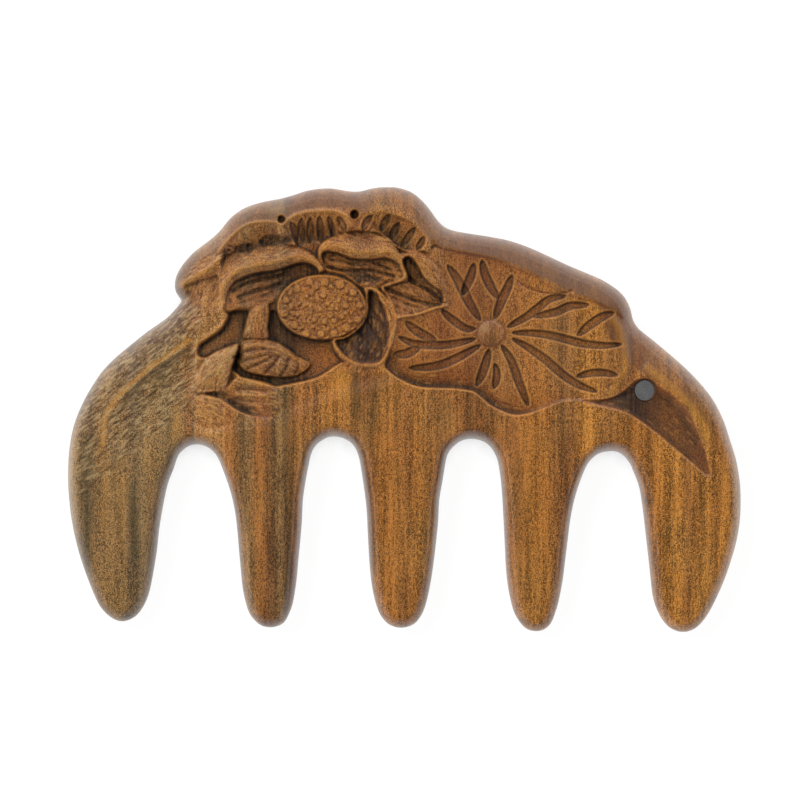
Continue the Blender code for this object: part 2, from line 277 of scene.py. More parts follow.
def drill_bit(centre, radius):
    """A cylinder through the slab where the hanging hole goes."""
    bm = bmesh.new()
    bmesh.ops.create_cone(bm, cap_ends=True, segments=64, radius1=radius, radius2=radius, depth=4 * SLAB_HALF)
    bmesh.ops.translate(bm, verts=bm.verts, vec=(centre[0], centre[1], MIDDLE_PLANE))
    return mesh_object("drill_bit", bm)


slab = slab_from(comb_outline)
bit = drill_bit(board_to_plane(np.array([HOLE_CENTRE]))[0], HOLE_RADIUS)
drilling = slab.modifiers.new("drilling", "BOOLEAN")
drilling.operation = "DIFFERENCE"
drilling.solver = "EXACT"
drilling.object = bit
grid = slab.modifiers.new("even_faces", "REMESH")
grid.mode = "VOXEL"
grid.voxel_size = VOXEL
evaluated = slab.evaluated_get(bpy.context.evaluated_depsgraph_get())
blank = bpy.data.meshes.new_from_object(evaluated)
bpy.data.objects.remove(slab)
bpy.data.objects.remove(bit)
print("faces in the slab:", len(blank.polygons))

# %% [markdown]
# ## How the edge rounds off
# Two roundings meet on this comb. Every edge has a small one, about 2 mm. The outside of the spine and of
# the two end teeth also rolls away over 4 to 6 mm, as such combs are shaped on a belt. Both follow the
# distance from the outline, so that is worked out first.

# %% Distance from the edge
edge_distance, _ = along(comb_outline, 40, closed=True)
edge_distance = np.where(inside(comb_outline), edge_distance, -edge_distance)
hole_distance = np.hypot(map_x - HOLE_CENTRE[0], map_y - HOLE_CENTRE[1]) - HOLE_RADIUS / UNIT
wall_distance = np.minimum(edge_distance, hole_distance)
toward_y, toward_x = np.gradient(wall_distance, MAP_STEP)
print("furthest point from any edge, mm:", round(edge_distance.max() * UNIT * 1000, 1))

# %% The outer roll
# From the left tip over the top to the right tip: how wide the roll is in units, how deep in mm, and
# how much of it is a flat bevel that starts with a crease.
ROLL_PLACES = (0.0, 0.10, 0.17, 0.22, 0.28, 0.33, 0.39, 0.54, 0.69, 0.72, 0.76, 0.80, 0.85, 0.93, 1.0)
ROLL_WIDTHS = (10, 15, 22, 30, 26, 24, 23, 23, 25, 28, 36, 28, 17, 14, 10)
ROLL_DROPS = (0.3, 1.2, 2.1, 2.8, 2.5, 2.6, 2.7, 2.8, 2.8, 2.8, 3.1, 2.5, 1.5, 1.0, 0.3)
ROLL_BEVELS = (0.0, 0.05, 0.10, 0.20, 0.35, 0.35, 0.35, 0.40, 0.40, 0.30, 0.25, 0.15, 0.05, 0.0, 0.0)
outer_line = smooth_line(LEFT_END_TOOTH[16:] + TOP_EDGE + RIGHT_END_TOOTH[:11])
outer_distance, outer_share = along(outer_line, 45)
roll_width = np.interp(outer_share, ROLL_PLACES, ROLL_WIDTHS)
roll_drop = np.interp(outer_share, ROLL_PLACES, ROLL_DROPS)
roll_bevel = np.interp(outer_share, ROLL_PLACES, ROLL_BEVELS)
t = 1 - np.clip(outer_distance / roll_width, 0, 1)
outer_roll = roll_drop * (roll_bevel * t + (1 - roll_bevel) * (1 - np.sqrt(1 - t * t)))
print("deepest roll, mm:", round(float(outer_roll.max()), 2))

# %% [markdown]
# ## Carving tools
# The relief map holds the face's height in millimetres: 0 is the untouched face, and minus 2 lies 2 mm
# below it. A few tools do all the carving. `lay` puts a surface inside an outline, `groove` and `ridge`
# follow a line, and `gouge` is the leaf-shaped cut of a curved chisel. Three more maps follow along and
# are painted into the wood's colour: the stain is dark oil and wax in the cuts together with painted
# shade in hollows and under rims, the polish is rubbed wear together with a painted highlight on raised
# places, and the pale marks are pale knife cuts together with painted highlights and glints.

# %% Surfaces inside an outline
face = np.zeros(map_x.shape)
stain_and_shade = np.zeros(map_x.shape)
polish_and_highlight = np.zeros(map_x.shape)
# Pale marks: pale knife cuts together with painted highlights and painted glints.
pale_and_highlight = np.zeros(map_x.shape)


def lay(outline, height, soft=1.0, dark=0.0, inset=0.0):
    """Puts `height` inside the outline, over what was there, with a border this soft and this far in."""
    global face, stain_and_shade, polish_and_highlight, pale_and_highlight
    share = ease(0.5 + (depth_inside(outline, 6) - inset) / (2 * soft))
    face = face * (1 - share) + height * share
    stain_and_shade = stain_and_shade * (1 - share) + dark * share
    polish_and_highlight = polish_and_highlight * (1 - share)
    pale_and_highlight = pale_and_highlight * (1 - share)


def falling(points, width, near, far, closed=False):
    """A surface at `near` along the line that eases to `far` at this distance from it."""
    distance, _ = along(smooth_line(points, closed), width, closed)
    return near + (far - near) * ease(distance / width)


def leaning(start, end, low, high):
    """A flat slope from `low` at one point to `high` at the other."""
    dx, dy = end[0] - start[0], end[1] - start[1]
    t = ((map_x - start[0]) * dx + (map_y - start[1]) * dy) / (dx * dx + dy * dy)
    return low + (high - low) * np.clip(t, 0, 1)


def swelling(outline, width, edge, crest):
    """A cushion: `edge` at the outline, rounding up to `crest` this far inside."""
    t = 1 - np.clip(depth_inside(outline, width) / width, 0, 1)
    return edge + (crest - edge) * np.sqrt(np.clip(1 - t * t, 0, 1))


print("the uncarved map's highest point:", face.max())

# %% Cuts and ridges along a line
def groove(points, width, depth, dark=0.0):
    """A cut along a line, deepest in its middle."""
    global face, stain_and_shade
    distance, _ = along(smooth_line(points), width)
    profile = ease(1 - distance / width)
    face = face - depth * profile
    stain_and_shade = np.maximum(stain_and_shade, dark * profile)


def ridge(points, width, height, closed=False, wear_and_highlight=0.6):
    """A raised line, made bright and cleared of darkening: rubbed wear with a painted highlight."""
    global face, stain_and_shade, polish_and_highlight
    distance, _ = along(smooth_line(points, closed), width, closed)
    profile = ease(1 - distance / width)
    face = face + height * profile
    stain_and_shade = stain_and_shade * (1 - wear_and_highlight * profile)
    polish_and_highlight = np.maximum(polish_and_highlight, wear_and_highlight * profile)


def gouge(points, width, depth, dark=0.6):
    """A flat-bottomed cut that narrows at both ends, darkened with oil and painted shade, most on its steep
    walls, and with a painted highlight on its edge.
    """
    global face, stain_and_shade, polish_and_highlight
    distance, share = along(smooth_line(points), width)
    half = width / 2 * np.clip(4 * share * (1 - share), 0.02, 1) ** 0.40
    profile = ease(0.5 + (half - distance) / 1.8)
    face = face - depth * profile
    border = np.exp(-(((half - distance) / 1.1) ** 2))
    stain_and_shade = np.maximum(stain_and_shade, dark * np.minimum(0.52 * profile + 0.65 * border, 1.2))
    polish_and_highlight = np.maximum(polish_and_highlight * (1 - profile), 0.75 * np.exp(-(((distance - half - 1.6) / 0.8) ** 2)))


def bead(x, y, radius, height, wear_and_highlight=0.0):
    """A small round bump, or a dimple where the height is negative."""
    part = window(x - radius, y - radius, x + radius, y + radius)
    q = np.hypot(map_x[part] - x, map_y[part] - y) / radius
    bump = np.sqrt(np.clip(1 - q * q, 0, 1))
    face[part] = face[part] + height * bump
    polish_and_highlight[part] = np.maximum(polish_and_highlight[part], wear_and_highlight * bump)


print("tools for lines: groove, ridge, gouge; for a point: bead")

# %% Knife marks
def knife_mark(x, y, across, down, width, depth, dark=0.0, pale=0.0, wear_and_highlight=0.0):
    """A short straight scratch from one point, so far across and down."""
    x0, x1 = sorted((x, x + across))
    y0, y1 = sorted((y, y + down))
    part = window(x0 - width, y0 - width, x1 + width, y1 + width)
    px, py = map_x[part] - x, map_y[part] - y
    t = np.clip((px * across + py * down) / (across**2 + down**2), 0, 1)
    profile = ease(1 - np.hypot(px - t * across, py - t * down) / width)
    face[part] = face[part] - depth * profile
    stain_and_shade[part] = np.maximum(stain_and_shade[part] * (1 - max(pale, 0.5 * wear_and_highlight) * profile), dark * profile)
    polish_and_highlight[part] = np.maximum(polish_and_highlight[part], wear_and_highlight * profile)
    pale_and_highlight[part] = np.maximum(pale_and_highlight[part] * (1 - dark * profile), pale * profile)


rng = np.random.default_rng(7)
MARK_WIDTH = 1.1


def scattered(outline, tries):
    """Random points inside the outline, each with the number of its try."""
    low, high = np.min(drawn(outline), 0), np.max(drawn(outline), 0)
    share = inside(smooth_line(outline, closed=True))
    for i in range(tries):
        x, y = rng.uniform(low, high)
        if share[int((y - MAP_BOX[1]) / MAP_STEP), int((x - MAP_BOX[0]) / MAP_STEP)]:
            yield i, x, y


def hatch(outline, line, tries, length=8, dark=0.6):
    """Fine knife marks inside the outline that run the way the line does. Every third one is bright: rubbed
    wear with a painted glint.
    """
    run = smooth_line(line)
    for i, x, y in scattered(outline, tries):
        near = min(int(np.argmin(np.hypot(run[:, 0] - x, run[:, 1] - y))), len(run) - 2)
        step = run[near + 1] - run[near]
        across, down = step / math.dist(run[near + 1], run[near]) * rng.uniform(0.4, 1.0) * length
        if i % 3:
            depth = rng.uniform(0.02, 0.08)
            knife_mark(x, y, across, down, MARK_WIDTH, depth, dark=rng.uniform(0.2, 1.3) * dark)
        else:
            wear_and_highlight = rng.uniform(0.2, 1.0)
            knife_mark(x, y, across, down, MARK_WIDTH, -0.03, wear_and_highlight=wear_and_highlight, pale=rng.uniform(0.0, 0.4))


def blacken(outline, tries):
    """Short deep cuts close together, which leave an uneven black patch of painted shade."""
    for _, x, y in scattered(outline, tries):
        across, down, width = rng.uniform(-5, 5), rng.uniform(-2.5, 2.5), rng.uniform(1.4, 2.8)
        knife_mark(x, y, across, down, width, 0.12 * rng.uniform(0.3, 1.0), dark=rng.uniform(0.8, 1.0))


print("knife marks are", MARK_WIDTH, "units to each side")

# %% [markdown]
# ## The lotus leaf
# The leaf is a shallow dish on the right. Its lower left border is cut deepest, so a wall stands there
# below the bright edge of the untouched wood, darkened with painted shade. To the right it comes up to
# the face again.

# %% The leaf's dish
LEAF_LOWER_EDGE = drawn("""
    385,364 390,371 396,376 405,381 413,384.5 425,387 440,387.5 455,388 470,390 475,391.5 482,397 490,404
    499,409 509,413 518,414.3 527,413 540,409 555,403 566,400""")
LEAF = LEAF_LOWER_EDGE + drawn("""
    580,400 595,400 610,397 622,391 631,381 635,366 634,345 629,325 617,313 592,301 575,296 555,288 535,276
    514,267 500,261 481,256 460,252 440,249 425,260 430,290 400,318 392,345""")
# The wood around the flower is taken down a little first, so that thin petal rims can stand proud.
FLOWER_GROUND = drawn("""
    182,262 205,240 230,214 262,200 300,190 350,188 400,185 436,212 446,240 452,300 400,372 330,395 270,420
    200,425 190,380 205,330 180,300""")
face = -0.35 * ease(0.5 + depth_inside(FLOWER_GROUND, 12) / 18)
border_depth = np.interp(map_x, [385, 400, 470, 500, 530, 566], [0.7, 0.9, 0.8, 0.7, 0.6, 0.0])
dish = np.interp(map_x, [380, 440, 560, 636], [-0.80, -0.65, -0.45, -0.15])
dish = dish + falling(LEAF_LOWER_EDGE, 26, -1, 0) * border_depth
# Painted shade darkens the lower left wall, and the dish is a little darker to the left.
border_shade = falling(LEAF_LOWER_EDGE, 15, 0.75, 0.0) * np.interp(map_x, [500, 560], [1.0, 0.2])
leaf_dark = np.maximum(border_shade, np.interp(map_x, [385, 440, 500, 560], [0.26, 0.25, 0.14, 0.06]))
lay(LEAF, dish, soft=1.3, dark=leaf_dark)
# A fine knife line along the crease between the leaf and the rolled top edge.
groove("519,282 530,289 545,293 560,293.5 571,291.5", 1.8, 0.30, dark=0.5)
print("leaf done, lowest point, mm:", round(float(face.min()), 2))

# %% Boss and veins of the leaf
BOSS_CENTRE = (491, 333)
boss_distance = np.hypot(map_x - BOSS_CENTRE[0], (map_y - BOSS_CENTRE[1]) * 1.05)
face = face - 0.25 * ease(1 - boss_distance / 34)
face = face + 0.70 * np.sqrt(np.clip(1 - (boss_distance / 13) ** 2, 0, 1))
# A ring of painted shade lies round the boss's foot, and a painted highlight on its upper left.
stain_and_shade = np.maximum(stain_and_shade, 0.60 * np.exp(-(((boss_distance - 14.5) / 2.0) ** 2)))
pale_and_highlight = np.maximum(pale_and_highlight, 0.6 * np.exp(-((np.hypot(map_x - 485, map_y - 329) / 5) ** 2)))
for turn in np.arange(0, 2 * math.pi, 0.3):
    across, down = 9 * math.cos(turn), 9 * math.sin(turn)
    knife_mark(490 + 0.5 * across, 332 + 0.5 * down, across, down, 1.3, 0.05, dark=0.15, pale=0.15)
LEAF_VEINS = [
    ("406,322 414,329 424,335 436,340.5", 8.5),
    ("399,337 407,341 416,344 430,345.2 445,345 458,343 475,339", 7.5),
    ("395,354 405,354 412,351 419,348.5", 8.5),
    ("410,368 430,367 445,363.5 460,356.5 470,351 480,345.5", 8.0),
    ("442,310 448,316 457,323 466,328.5 475,329", 7.5),
    ("448,266 456,277 463,290 470,304 480,320", 9.0),
    ("474,264 471,276 466,287 463,294", 8.0),
    ("482,261 485,274 491,287 498,298", 8.5),
    ("512,276 507,289 501,302 495,318", 8.5),
    ("565,296 550,299 538,308 526,317 508,327", 7.5),
    ("588,305 570,306 556,312 534,316.5", 7.5),
    ("613,313 602,317 590,325 578,335", 8.5),
    ("513,333 530,333 548,335 565,339 583,343.5 602,345.5 621,344.5", 7.5),
    ("513,339 529,348 546,360 562,374 577,384 596,391.5", 8.0),
    ("617,375 605,373 592,373 577,376.5", 7.0),
    ("502,346 511,360 519,382 528,405", 8.0),
    ("489,350 486,362 482,374 477,385", 8.0),
    ("495,364 497,375 494,388", 7.0),
]
for vein, width in LEAF_VEINS:
    gouge(vein, width, 0.50, dark=0.85)
# Where the leaf meets the pod petal it dips into a small corner, darkened with painted shade.
lay("395,353 391,357 387,364 393,372 398,372 398,362", -1.7, soft=3.0, dark=0.4)
LEAF_BORDER = drawn("""
    386,362 396,374 412,382 440,386 470,388 490,402 518,412 540,407 538,398 515,402 492,392 474,380 440,376
    412,370 398,360""")
hatch(LEAF_BORDER, LEAF_LOWER_EDGE, 260, dark=0.8)
print("veins cut:", len(LEAF_VEINS))

# %% [markdown]
# ## The scoops in the shoulders
# A gouge has taken a long crescent out of the right shoulder, below the hanging hole, and a shallower one
# out of the left. The right one drops steeply from its upper edge and rises gently to its lower one.

# %% The right scoop
SCOOP_UPPER_EDGE = drawn("""
    583,399.5 600,399 612,396.5 622,391 630,384 637,379 645,377.5 653,380 660,386 668,391 677,398 686,408
    693,419 699,432 704,446 708,460 710,475""")
SCOOP_LOWER_EDGE = drawn("""
    703,471.5 694,463.5 684,455 672,445 660,434.5 648,425 636,417 624,410.5 610,407 597,405 585,402.5""")
# The floor falls from the upper edge and comes up quickly again at the lower one.
from_upper, _ = along(smooth_line(SCOOP_UPPER_EDGE), 45)
from_lower, _ = along(smooth_line([(710, 477)] + SCOOP_LOWER_EDGE), 45)
scoop_depth = np.interp(map_x, [583, 610, 640, 690, 712], [0.25, 0.8, 1.7, 1.4, 0.5])
across = from_upper / (from_lower + from_upper + 0.01)
fall = np.where(across < 0.3, np.sin(across / 0.3 * math.pi / 2), 1 - 0.25 * (across - 0.3) / 0.7)
# The scoop's floor is darkened with painted shade, most near its left end and less at its upper edge and
# right end.
scoop_shade = 0.56 + 0.40 * np.exp(-(((map_x - 634) / 20) ** 2)) - 0.20 * np.clip((map_x - 690) / 20, 0, 1)
scoop_shade = scoop_shade * (0.45 + 0.55 * ease(across / 0.22))
lay(SCOOP_UPPER_EDGE + SCOOP_LOWER_EDGE, -scoop_depth * fall, soft=2.4, dark=scoop_shade)
hatch(SCOOP_UPPER_EDGE + SCOOP_LOWER_EDGE, "600,402 650,415 706,470", 260, dark=0.9)
# A valley runs from the top edge's dip down to the hole, between the leaf's rim and the shoulder.
groove("634,318 638,335 639,352 638,366 633,380 622,391", 13, 0.45, dark=0.12)
ridge("612,318 620,330 624,348 625,365 620,382 609,394", 7, 0.20, wear_and_highlight=0.45)
# Beside the scoop the shoulder's crest is rubbed bright and carries a painted highlight.
ridge("648,368 662,379 676,391 690,405 700,421 706,437", 7, 0.12, wear_and_highlight=0.5)
print("lowest point with the right scoop, mm:", round(float(face.min()), 2))

# %% The left shoulder
RIDGE_SLOPE = 0.835
SHOULDER_RIDGE = drawn("190,344 180,350 170,357 158,365 146,374 132,386 120,398 111,410")
left_scoop = SHOULDER_RIDGE + drawn("106,430 112,446 135,452 165,444 184,430 194,415 196,380")
from_ridge, _ = along(smooth_line(SHOULDER_RIDGE), 80)
hollow = np.interp(map_x, [106, 130, 165, 195], [0.15, 0.50, 0.95, 0.85])
hollow = hollow * ease(from_ridge / 10) * (1 - ease((from_ridge - 16) / 46))
lay(left_scoop, np.minimum(face, -hollow), soft=3.0)
groove("192,350 191,368 191,388 190,405 192,418", 9, 0.20, dark=0.10)
# Both sides of the ridge keep short knife marks that run along the shoulder, some dark and some bright, the
# bright ones as painted glints.
for i in range(1500):
    x = rng.uniform(76, 198)
    y = SHOULDER_RIDGE[0][1] + RIDGE_SLOPE * (SHOULDER_RIDGE[0][0] - x) + rng.uniform(-50, 62)
    length = rng.uniform(2, 7)
    across, down = length, -length * rng.uniform(0.4, 1.0)
    if i % 2:
        knife_mark(x, y, across, down, MARK_WIDTH, rng.uniform(0.03, 0.09), dark=rng.uniform(0.3, 1.0))
    else:
        knife_mark(x, y, across, down, MARK_WIDTH, -0.05, pale=rng.uniform(0.3, 1.0))
# The ridge gets a painted highlight with rubbed wear, and a groove just below it a line of painted shade.
ridge("190,340 170,354 146,371 120,395 111,407 105,420 103,445", 4.6, 0.22, wear_and_highlight=0.8)
groove("191,346 172,359.5 149,376 124,399", 4, 0.15, dark=0.55)
SHOULDER_CREST = drawn("186,338 192,344 150,375 118,402 112,400 146,368")
hatch(SHOULDER_CREST, "112,402 150,370 190,340", 60, length=5)
print("left shoulder hollowed")

# %% [markdown]
# ## The lotus flower
# The flower is carved from the back to the front, as it grows: first the three arched petals at the top
# edge, then the side petals, the two big petals that fold over the seed pod, the pod itself, and last
# the bud and the curled leaf below. Each petal has a thin raised rim and a hollow, darkened with painted
# shade most where the next petal covers it.

# %% The sunken ground behind the flower
FLOWER = drawn("""
    222,251 232,236 248,225 270,222 281,226 290,219 309,212 334,211 351,223 360,225 368,214 390,207
    410,212.5 426,226 431,244 440,262 448,285 448,306 420,315 397,320 396,335 388,352 384,363 368,367
    349,364.5 336,366 320,376 300,382 280,386.5 262,382.5 240,376 230,370 215,352 203,359 198,354 199,345
    220,329 226,318 221,309 220,290 224,275""")
lay(FLOWER, -1.9, soft=1.6, inset=2.5)
lay("344,220 364,220 362,235 346,235", -0.8, soft=3)
lay("425,240 438,246 440,262 428,258", -0.8, soft=3)
print("flower ground, mm:", round(float(face.min()), 2))

# %% The three arched petals at the top
LEFT_ARCH_RIM = drawn("""
    219,252 224,245 232,236 240,229 248,224.5 256,222.5 263,221.8 270,222 276,223 281,225.5 286,230 291,235
    294,240 296,247""")
LEFT_ARCH_FOOT = drawn("288,247 275,246 265,247 255,249 245,252 235,255 226,257")
lay(LEFT_ARCH_RIM + LEFT_ARCH_FOOT, falling(LEFT_ARCH_RIM, 22, -0.45, -2.0),
    dark=1 - falling(LEFT_ARCH_FOOT, 14, 0.35, 1.0))
hatch(LEFT_ARCH_RIM + LEFT_ARCH_FOOT, "258,222 259,235 260,248", 260, length=7)
blacken("221,252 232,247 244,244 253,245 250,251 238,254 226,257", 130)
blacken("259,243 264,237 276,235 288,236 294,242 284,243 272,245", 110)
ridge(LEFT_ARCH_RIM, 2.6, 0.30)
TOP_RIM = drawn("283,225 289,219.5 297,214.5 309,212 321,211 334,211.3 344,215 348,219.5 352,226")
TOP_FOOT = drawn("349,231 340,233 331,236.5 320,241 306,244 297,244")
lay(TOP_RIM + TOP_FOOT, falling(TOP_RIM, 26, -0.40, -2.1), dark=falling(TOP_RIM, 26, 0.1, 0.6))
ridge(TOP_RIM, 3.2, 0.30)
for flute, width in (
    ("291,223 294,229 297,240", 7.0),
    ("301.5,219 301.5,229 303,241", 7.0),
    ("310.5,218 310,229 309.5,242", 6.5),
    ("319.5,217 320,227 321,241", 6.5),
    ("328.5,217 331,225 333,235", 5.5),
    ("338,217 342,224 345,231", 6.0),
):
    gouge(flute, width, 0.40, dark=0.85)
hatch(TOP_RIM + TOP_FOOT, "320,212 321,240", 200, length=6, dark=0.8)
RIGHT_ARCH = drawn("""
    358,229 361,221 368,213 378,208.3 390,206.5 400,208.3 411,213 420,220 427,229 430.5,240 430.5,252
    421,251 406,251 397.5,247 387.5,238.5 377.5,232 366,232""")
RIGHT_ARCH_HOLLOW = drawn("""
    362,228 365,220 372,214 382,212.5 396,216.5 409,221.5 417,228.5 423.5,237 425,246 418,250 406,250
    397.5,246 387.5,237.5 377.5,231.5 367,231.5""")
right_arch_rim = RIGHT_ARCH[:11]
lay(RIGHT_ARCH, falling(right_arch_rim, 9, -0.35, -0.15), soft=1.2)
lay(RIGHT_ARCH_HOLLOW, falling(right_arch_rim, 30, -0.45, -2.0), soft=1.5,
    dark=falling(right_arch_rim, 32, 0.05, 0.6))
for flute, width in (
    ("371,216 366,223 363,230", 6.5),
    ("389.5,215 385,222 381,230", 6.5),
    ("399,223 395,230 390.5,238", 6.5),
    ("415,228 409,236 402,246", 6.5),
    ("424,237 421,243 417,249", 5.5),
):
    gouge(flute, width, 0.45, dark=0.85)
hatch(RIGHT_ARCH_HOLLOW, "404,210 393,225 384,240", 280, length=6, dark=0.8)
print("arched petals done")

# %% The two small drilled eyes between them
bead(281.5, 219.5, 4.0, -1.2)
bead(354.5, 214.5, 4.6, -1.6)
groove("432,248 435,246 438,247 441,248.5", 2.4, 0.4, dark=0.4)
print("eyes drilled, deepest, mm:", round(float(face.min()), 2))

# %% The left tip petal
TIP_RIDGE = drawn("182,284 188,281 196,275 206,269.5 213,265 219,261")
LEFT_TIP_HOLLOW = drawn("185,287 192,283.5 200,280 210,277 218,276 219,290 219,308 210,311 200,309 192,300")
lay(LEFT_TIP_HOLLOW, leaning((203, 279), (199, 311), -1.15, -0.35), soft=2.0,
    dark=leaning((203, 279), (199, 311), 0.30, 0.0))
ridge(TIP_RIDGE, 7, 0.25, wear_and_highlight=0.55)
hatch(LEFT_TIP_HOLLOW, "215,280 205,300", 300, length=6)
hatch("182,284 190,268 205,258 220,256 219,272 200,279", TIP_RIDGE, 260, length=6)
print("left tip petal done")

# %% The far right petal
FAR_PETAL = drawn("""
    400,254 406,252.5 415,250.5 425,253 434,259.5 441,269 446.5,280 449,291 449.5,305 444,308 436,309.5
    426,313 415,316 402.5,317.8 396,318.5 392,306 387,296 381,288 389,282.5 397.5,280.6 407,278 404,266""")
FAR_HOLLOW = drawn("""
    403,262 407,257.5 412,259 417.5,266 423,276 431,284.5 440,291 443.5,297.5 441,304 430,308 418,312
    402.5,314 397.5,313 393,303 388,295 385,289 398,283 408,280 406,270""")
far_rim = FAR_PETAL[:9]
lay(FAR_PETAL, falling(far_rim, 8, -0.75, -0.25), soft=1.3, dark=falling(far_rim, 7, 0.45, 0.0))
lay(FAR_HOLLOW, leaning((425, 270), (412, 315), -1.8, -0.9), soft=1.4,
    dark=leaning((425, 270), (412, 315), 0.6, 0.3))
hatch(FAR_HOLLOW, "390,285 415,296 440,303", 260, dark=0.9)
FAR_CORNER = drawn("403,262 407,257.5 412,259 417.5,267 421,277 415,283 409,281 406,271")
lay(FAR_CORNER, -2.2, soft=2.0, dark=0.35)
hatch(FAR_PETAL, "415,255 428,268 438,285 444,303", 420, length=6)
groove("409,278 418,284.5 427,289 436,296 441,300", 3.2, 0.55, dark=0.8)
groove("384,287.5 400,294.5 415,300.5 430,304 440,305", 2.6, 0.50, dark=0.7)
groove("393,297 405,304 420,308", 2.4, 0.25, dark=0.4)
ridge("396,318 406,317 417,315 427,311.5 437,308 447,305.5", 2.4, 0.35)
print("far right petal done")

# %% The big front petal
FRONT_BACK = drawn("""
    221,300 219,288 222,272 221,262 226,256 240,252.5 255,249 270,245.5 285,245 297,246.5 306,250 314,255
    320,262 324,270 318,273 300,274 260,285 225,309""")
FRONT_RIM = drawn("""
    221,309 220.5,298 222.5,288 227,280 234,273 246,267.5 260,264 275,261.5 290,257.5 303,256.5 311,259
    317,263.5 322,271""")
lay(FRONT_BACK, falling(FRONT_RIM, 17, -0.15, -1.75), soft=1.4)
hatch(FRONT_BACK, FRONT_RIM, 1000, length=6)
FRONT_HOLLOW = drawn("""
    226,304 226.5,296 230,288 236,281.5 246,276.5 260,272.5 275,270.5 286,267.5 296,264 304,262.8 312,265
    318,270.5 317,273.5 308,275.5 299,277.5 290,282.5 283,289 279,297 273,302 262,306 250,308.5 240,308.5
    230,311 224,309""")
lay(FRONT_HOLLOW, leaning((262, 274), (254, 309), -2.35, -0.95), soft=1.3,
    dark=leaning((262, 274), (254, 309), 0.62, 0.22))
lay("292,269 302,265 312,266 317,270.5 310,274 298,277 288,279", -2.3, soft=1.6, dark=0.5)
hatch(FRONT_HOLLOW, FRONT_RIM, 420, dark=0.9)
groove("233,291 240,286 250,282 262,279 274,276.5 288,273", 2.8, 0.45, dark=0.8)
groove("238,297.5 250,293 262,289.5 272,286.5 281,283", 3.0, 0.50, dark=0.8)
groove("236,304 248,301 260,297.5 272,292", 2.4, 0.20, dark=0.4)
ridge("221,310 230,311.5 240,309.5 250,309.5 258,307", 2.2, 0.35)
ridge(FRONT_RIM, 4.5, 0.12, wear_and_highlight=0.55)
print("front petal done")

# %% The right petal over the pod
RIGHT_PETAL = drawn("""
    319,259 318,250 322,243 330,238 340,234 355,231 370,232 382.5,236.5 393,244 400,254 404,266 407.5,278
    397.5,281 389,283 382,285.5 376,289.5 366,288 358,284 350,278 340,272.5 331,270.5 325,267""")
RIGHT_CREST = drawn("319,257 321,250 328,246.5 340,247 352,251 365,252.5 380,251 390,252 399,259 405,275")
lay(RIGHT_PETAL, falling(RIGHT_CREST, 19, -0.10, -1.6), soft=1.3)
hatch(RIGHT_PETAL, RIGHT_CREST, 900, length=6)
RIGHT_HOLLOW = drawn("""
    321.5,258 322.5,253.5 328,251.5 340,254 350,258 365,260 380,258.5 391,259.5 398,264.5 403,275.5
    396,278.5 386,281.5 376,287 366,286 359,282.5 351,276.5 340,271 331,269 325,265.5""")
lay(RIGHT_HOLLOW, leaning((366, 259), (374, 288), -1.75, -1.05), soft=1.2, dark=0.30)
hatch(RIGHT_HOLLOW, "322,262 350,265 400,274", 380, dark=0.9)
blacken("346,272 356,271 370,273 380,278 374,284 364,284 354,279", 130)
groove("328,267 340,270 352,270.5 367,270.5 382,273 394,276", 2.6, 0.50, dark=0.8)
groove("374,263 382,266 391,269.5", 2.8, 0.40, dark=0.7)
groove("330,260 345,262 358,265", 2.4, 0.22, dark=0.5)
ridge("322,267 328,270.5 340,272.5 350,278 358,284 366,288 376,289", 2.0, 0.35)
ridge("377,289 384,285 392,282.5 400,280.5 406,278", 2.2, 0.35)
ridge(RIGHT_CREST, 4.0, 0.12, wear_and_highlight=0.5)
print("right petal done")

# %% The dark recesses on both sides of the stem
RECESS_LEFT = drawn("""
    231,312.5 240,311 249,312 246,320 244,331 241,340 232.5,343 220,349 207.5,357 198.5,355.5 199,346
    207.5,339.5 220,330.5 226.5,321""")
RECESS_RIGHT = drawn("""
    270,313 277,313 281,321 288,329.5 299,335.5 310,339 324,341 334,341 336,352 341,361 333,367 320,375.5
    307,380 295,382.5 280,385.5 274,385.5 265,382 250,378.5 240,375.5 237,365 262,338.5""")
lay(RECESS_LEFT, leaning((241, 318), (202, 354), -2.7, -1.9), soft=1.6)
lay(RECESS_RIGHT, leaning((285, 335), (330, 372), -2.6, -1.7), soft=1.5,
    dark=leaning((300, 350), (335, 365), 0.4, 0.0))
hatch(RECESS_RIGHT, "275,330 300,350 330,365", 60, dark=0.5)
ridge("222.5,326 215,332.5 204,339.5 198,345 197.5,353 200.6,359.5", 5, 0.22)
STEM = drawn("249,311 256,306 264,302.5 269,304 270,314 268.5,327 268.5,339 256,341 243,338 245,325")
lay(STEM, swelling(STEM, 9, -1.5, -0.55), soft=1.3)
hatch(STEM, "258,305 257,338", 220, length=6)
print("recesses, deepest, mm:", round(float(face.min()), 2))

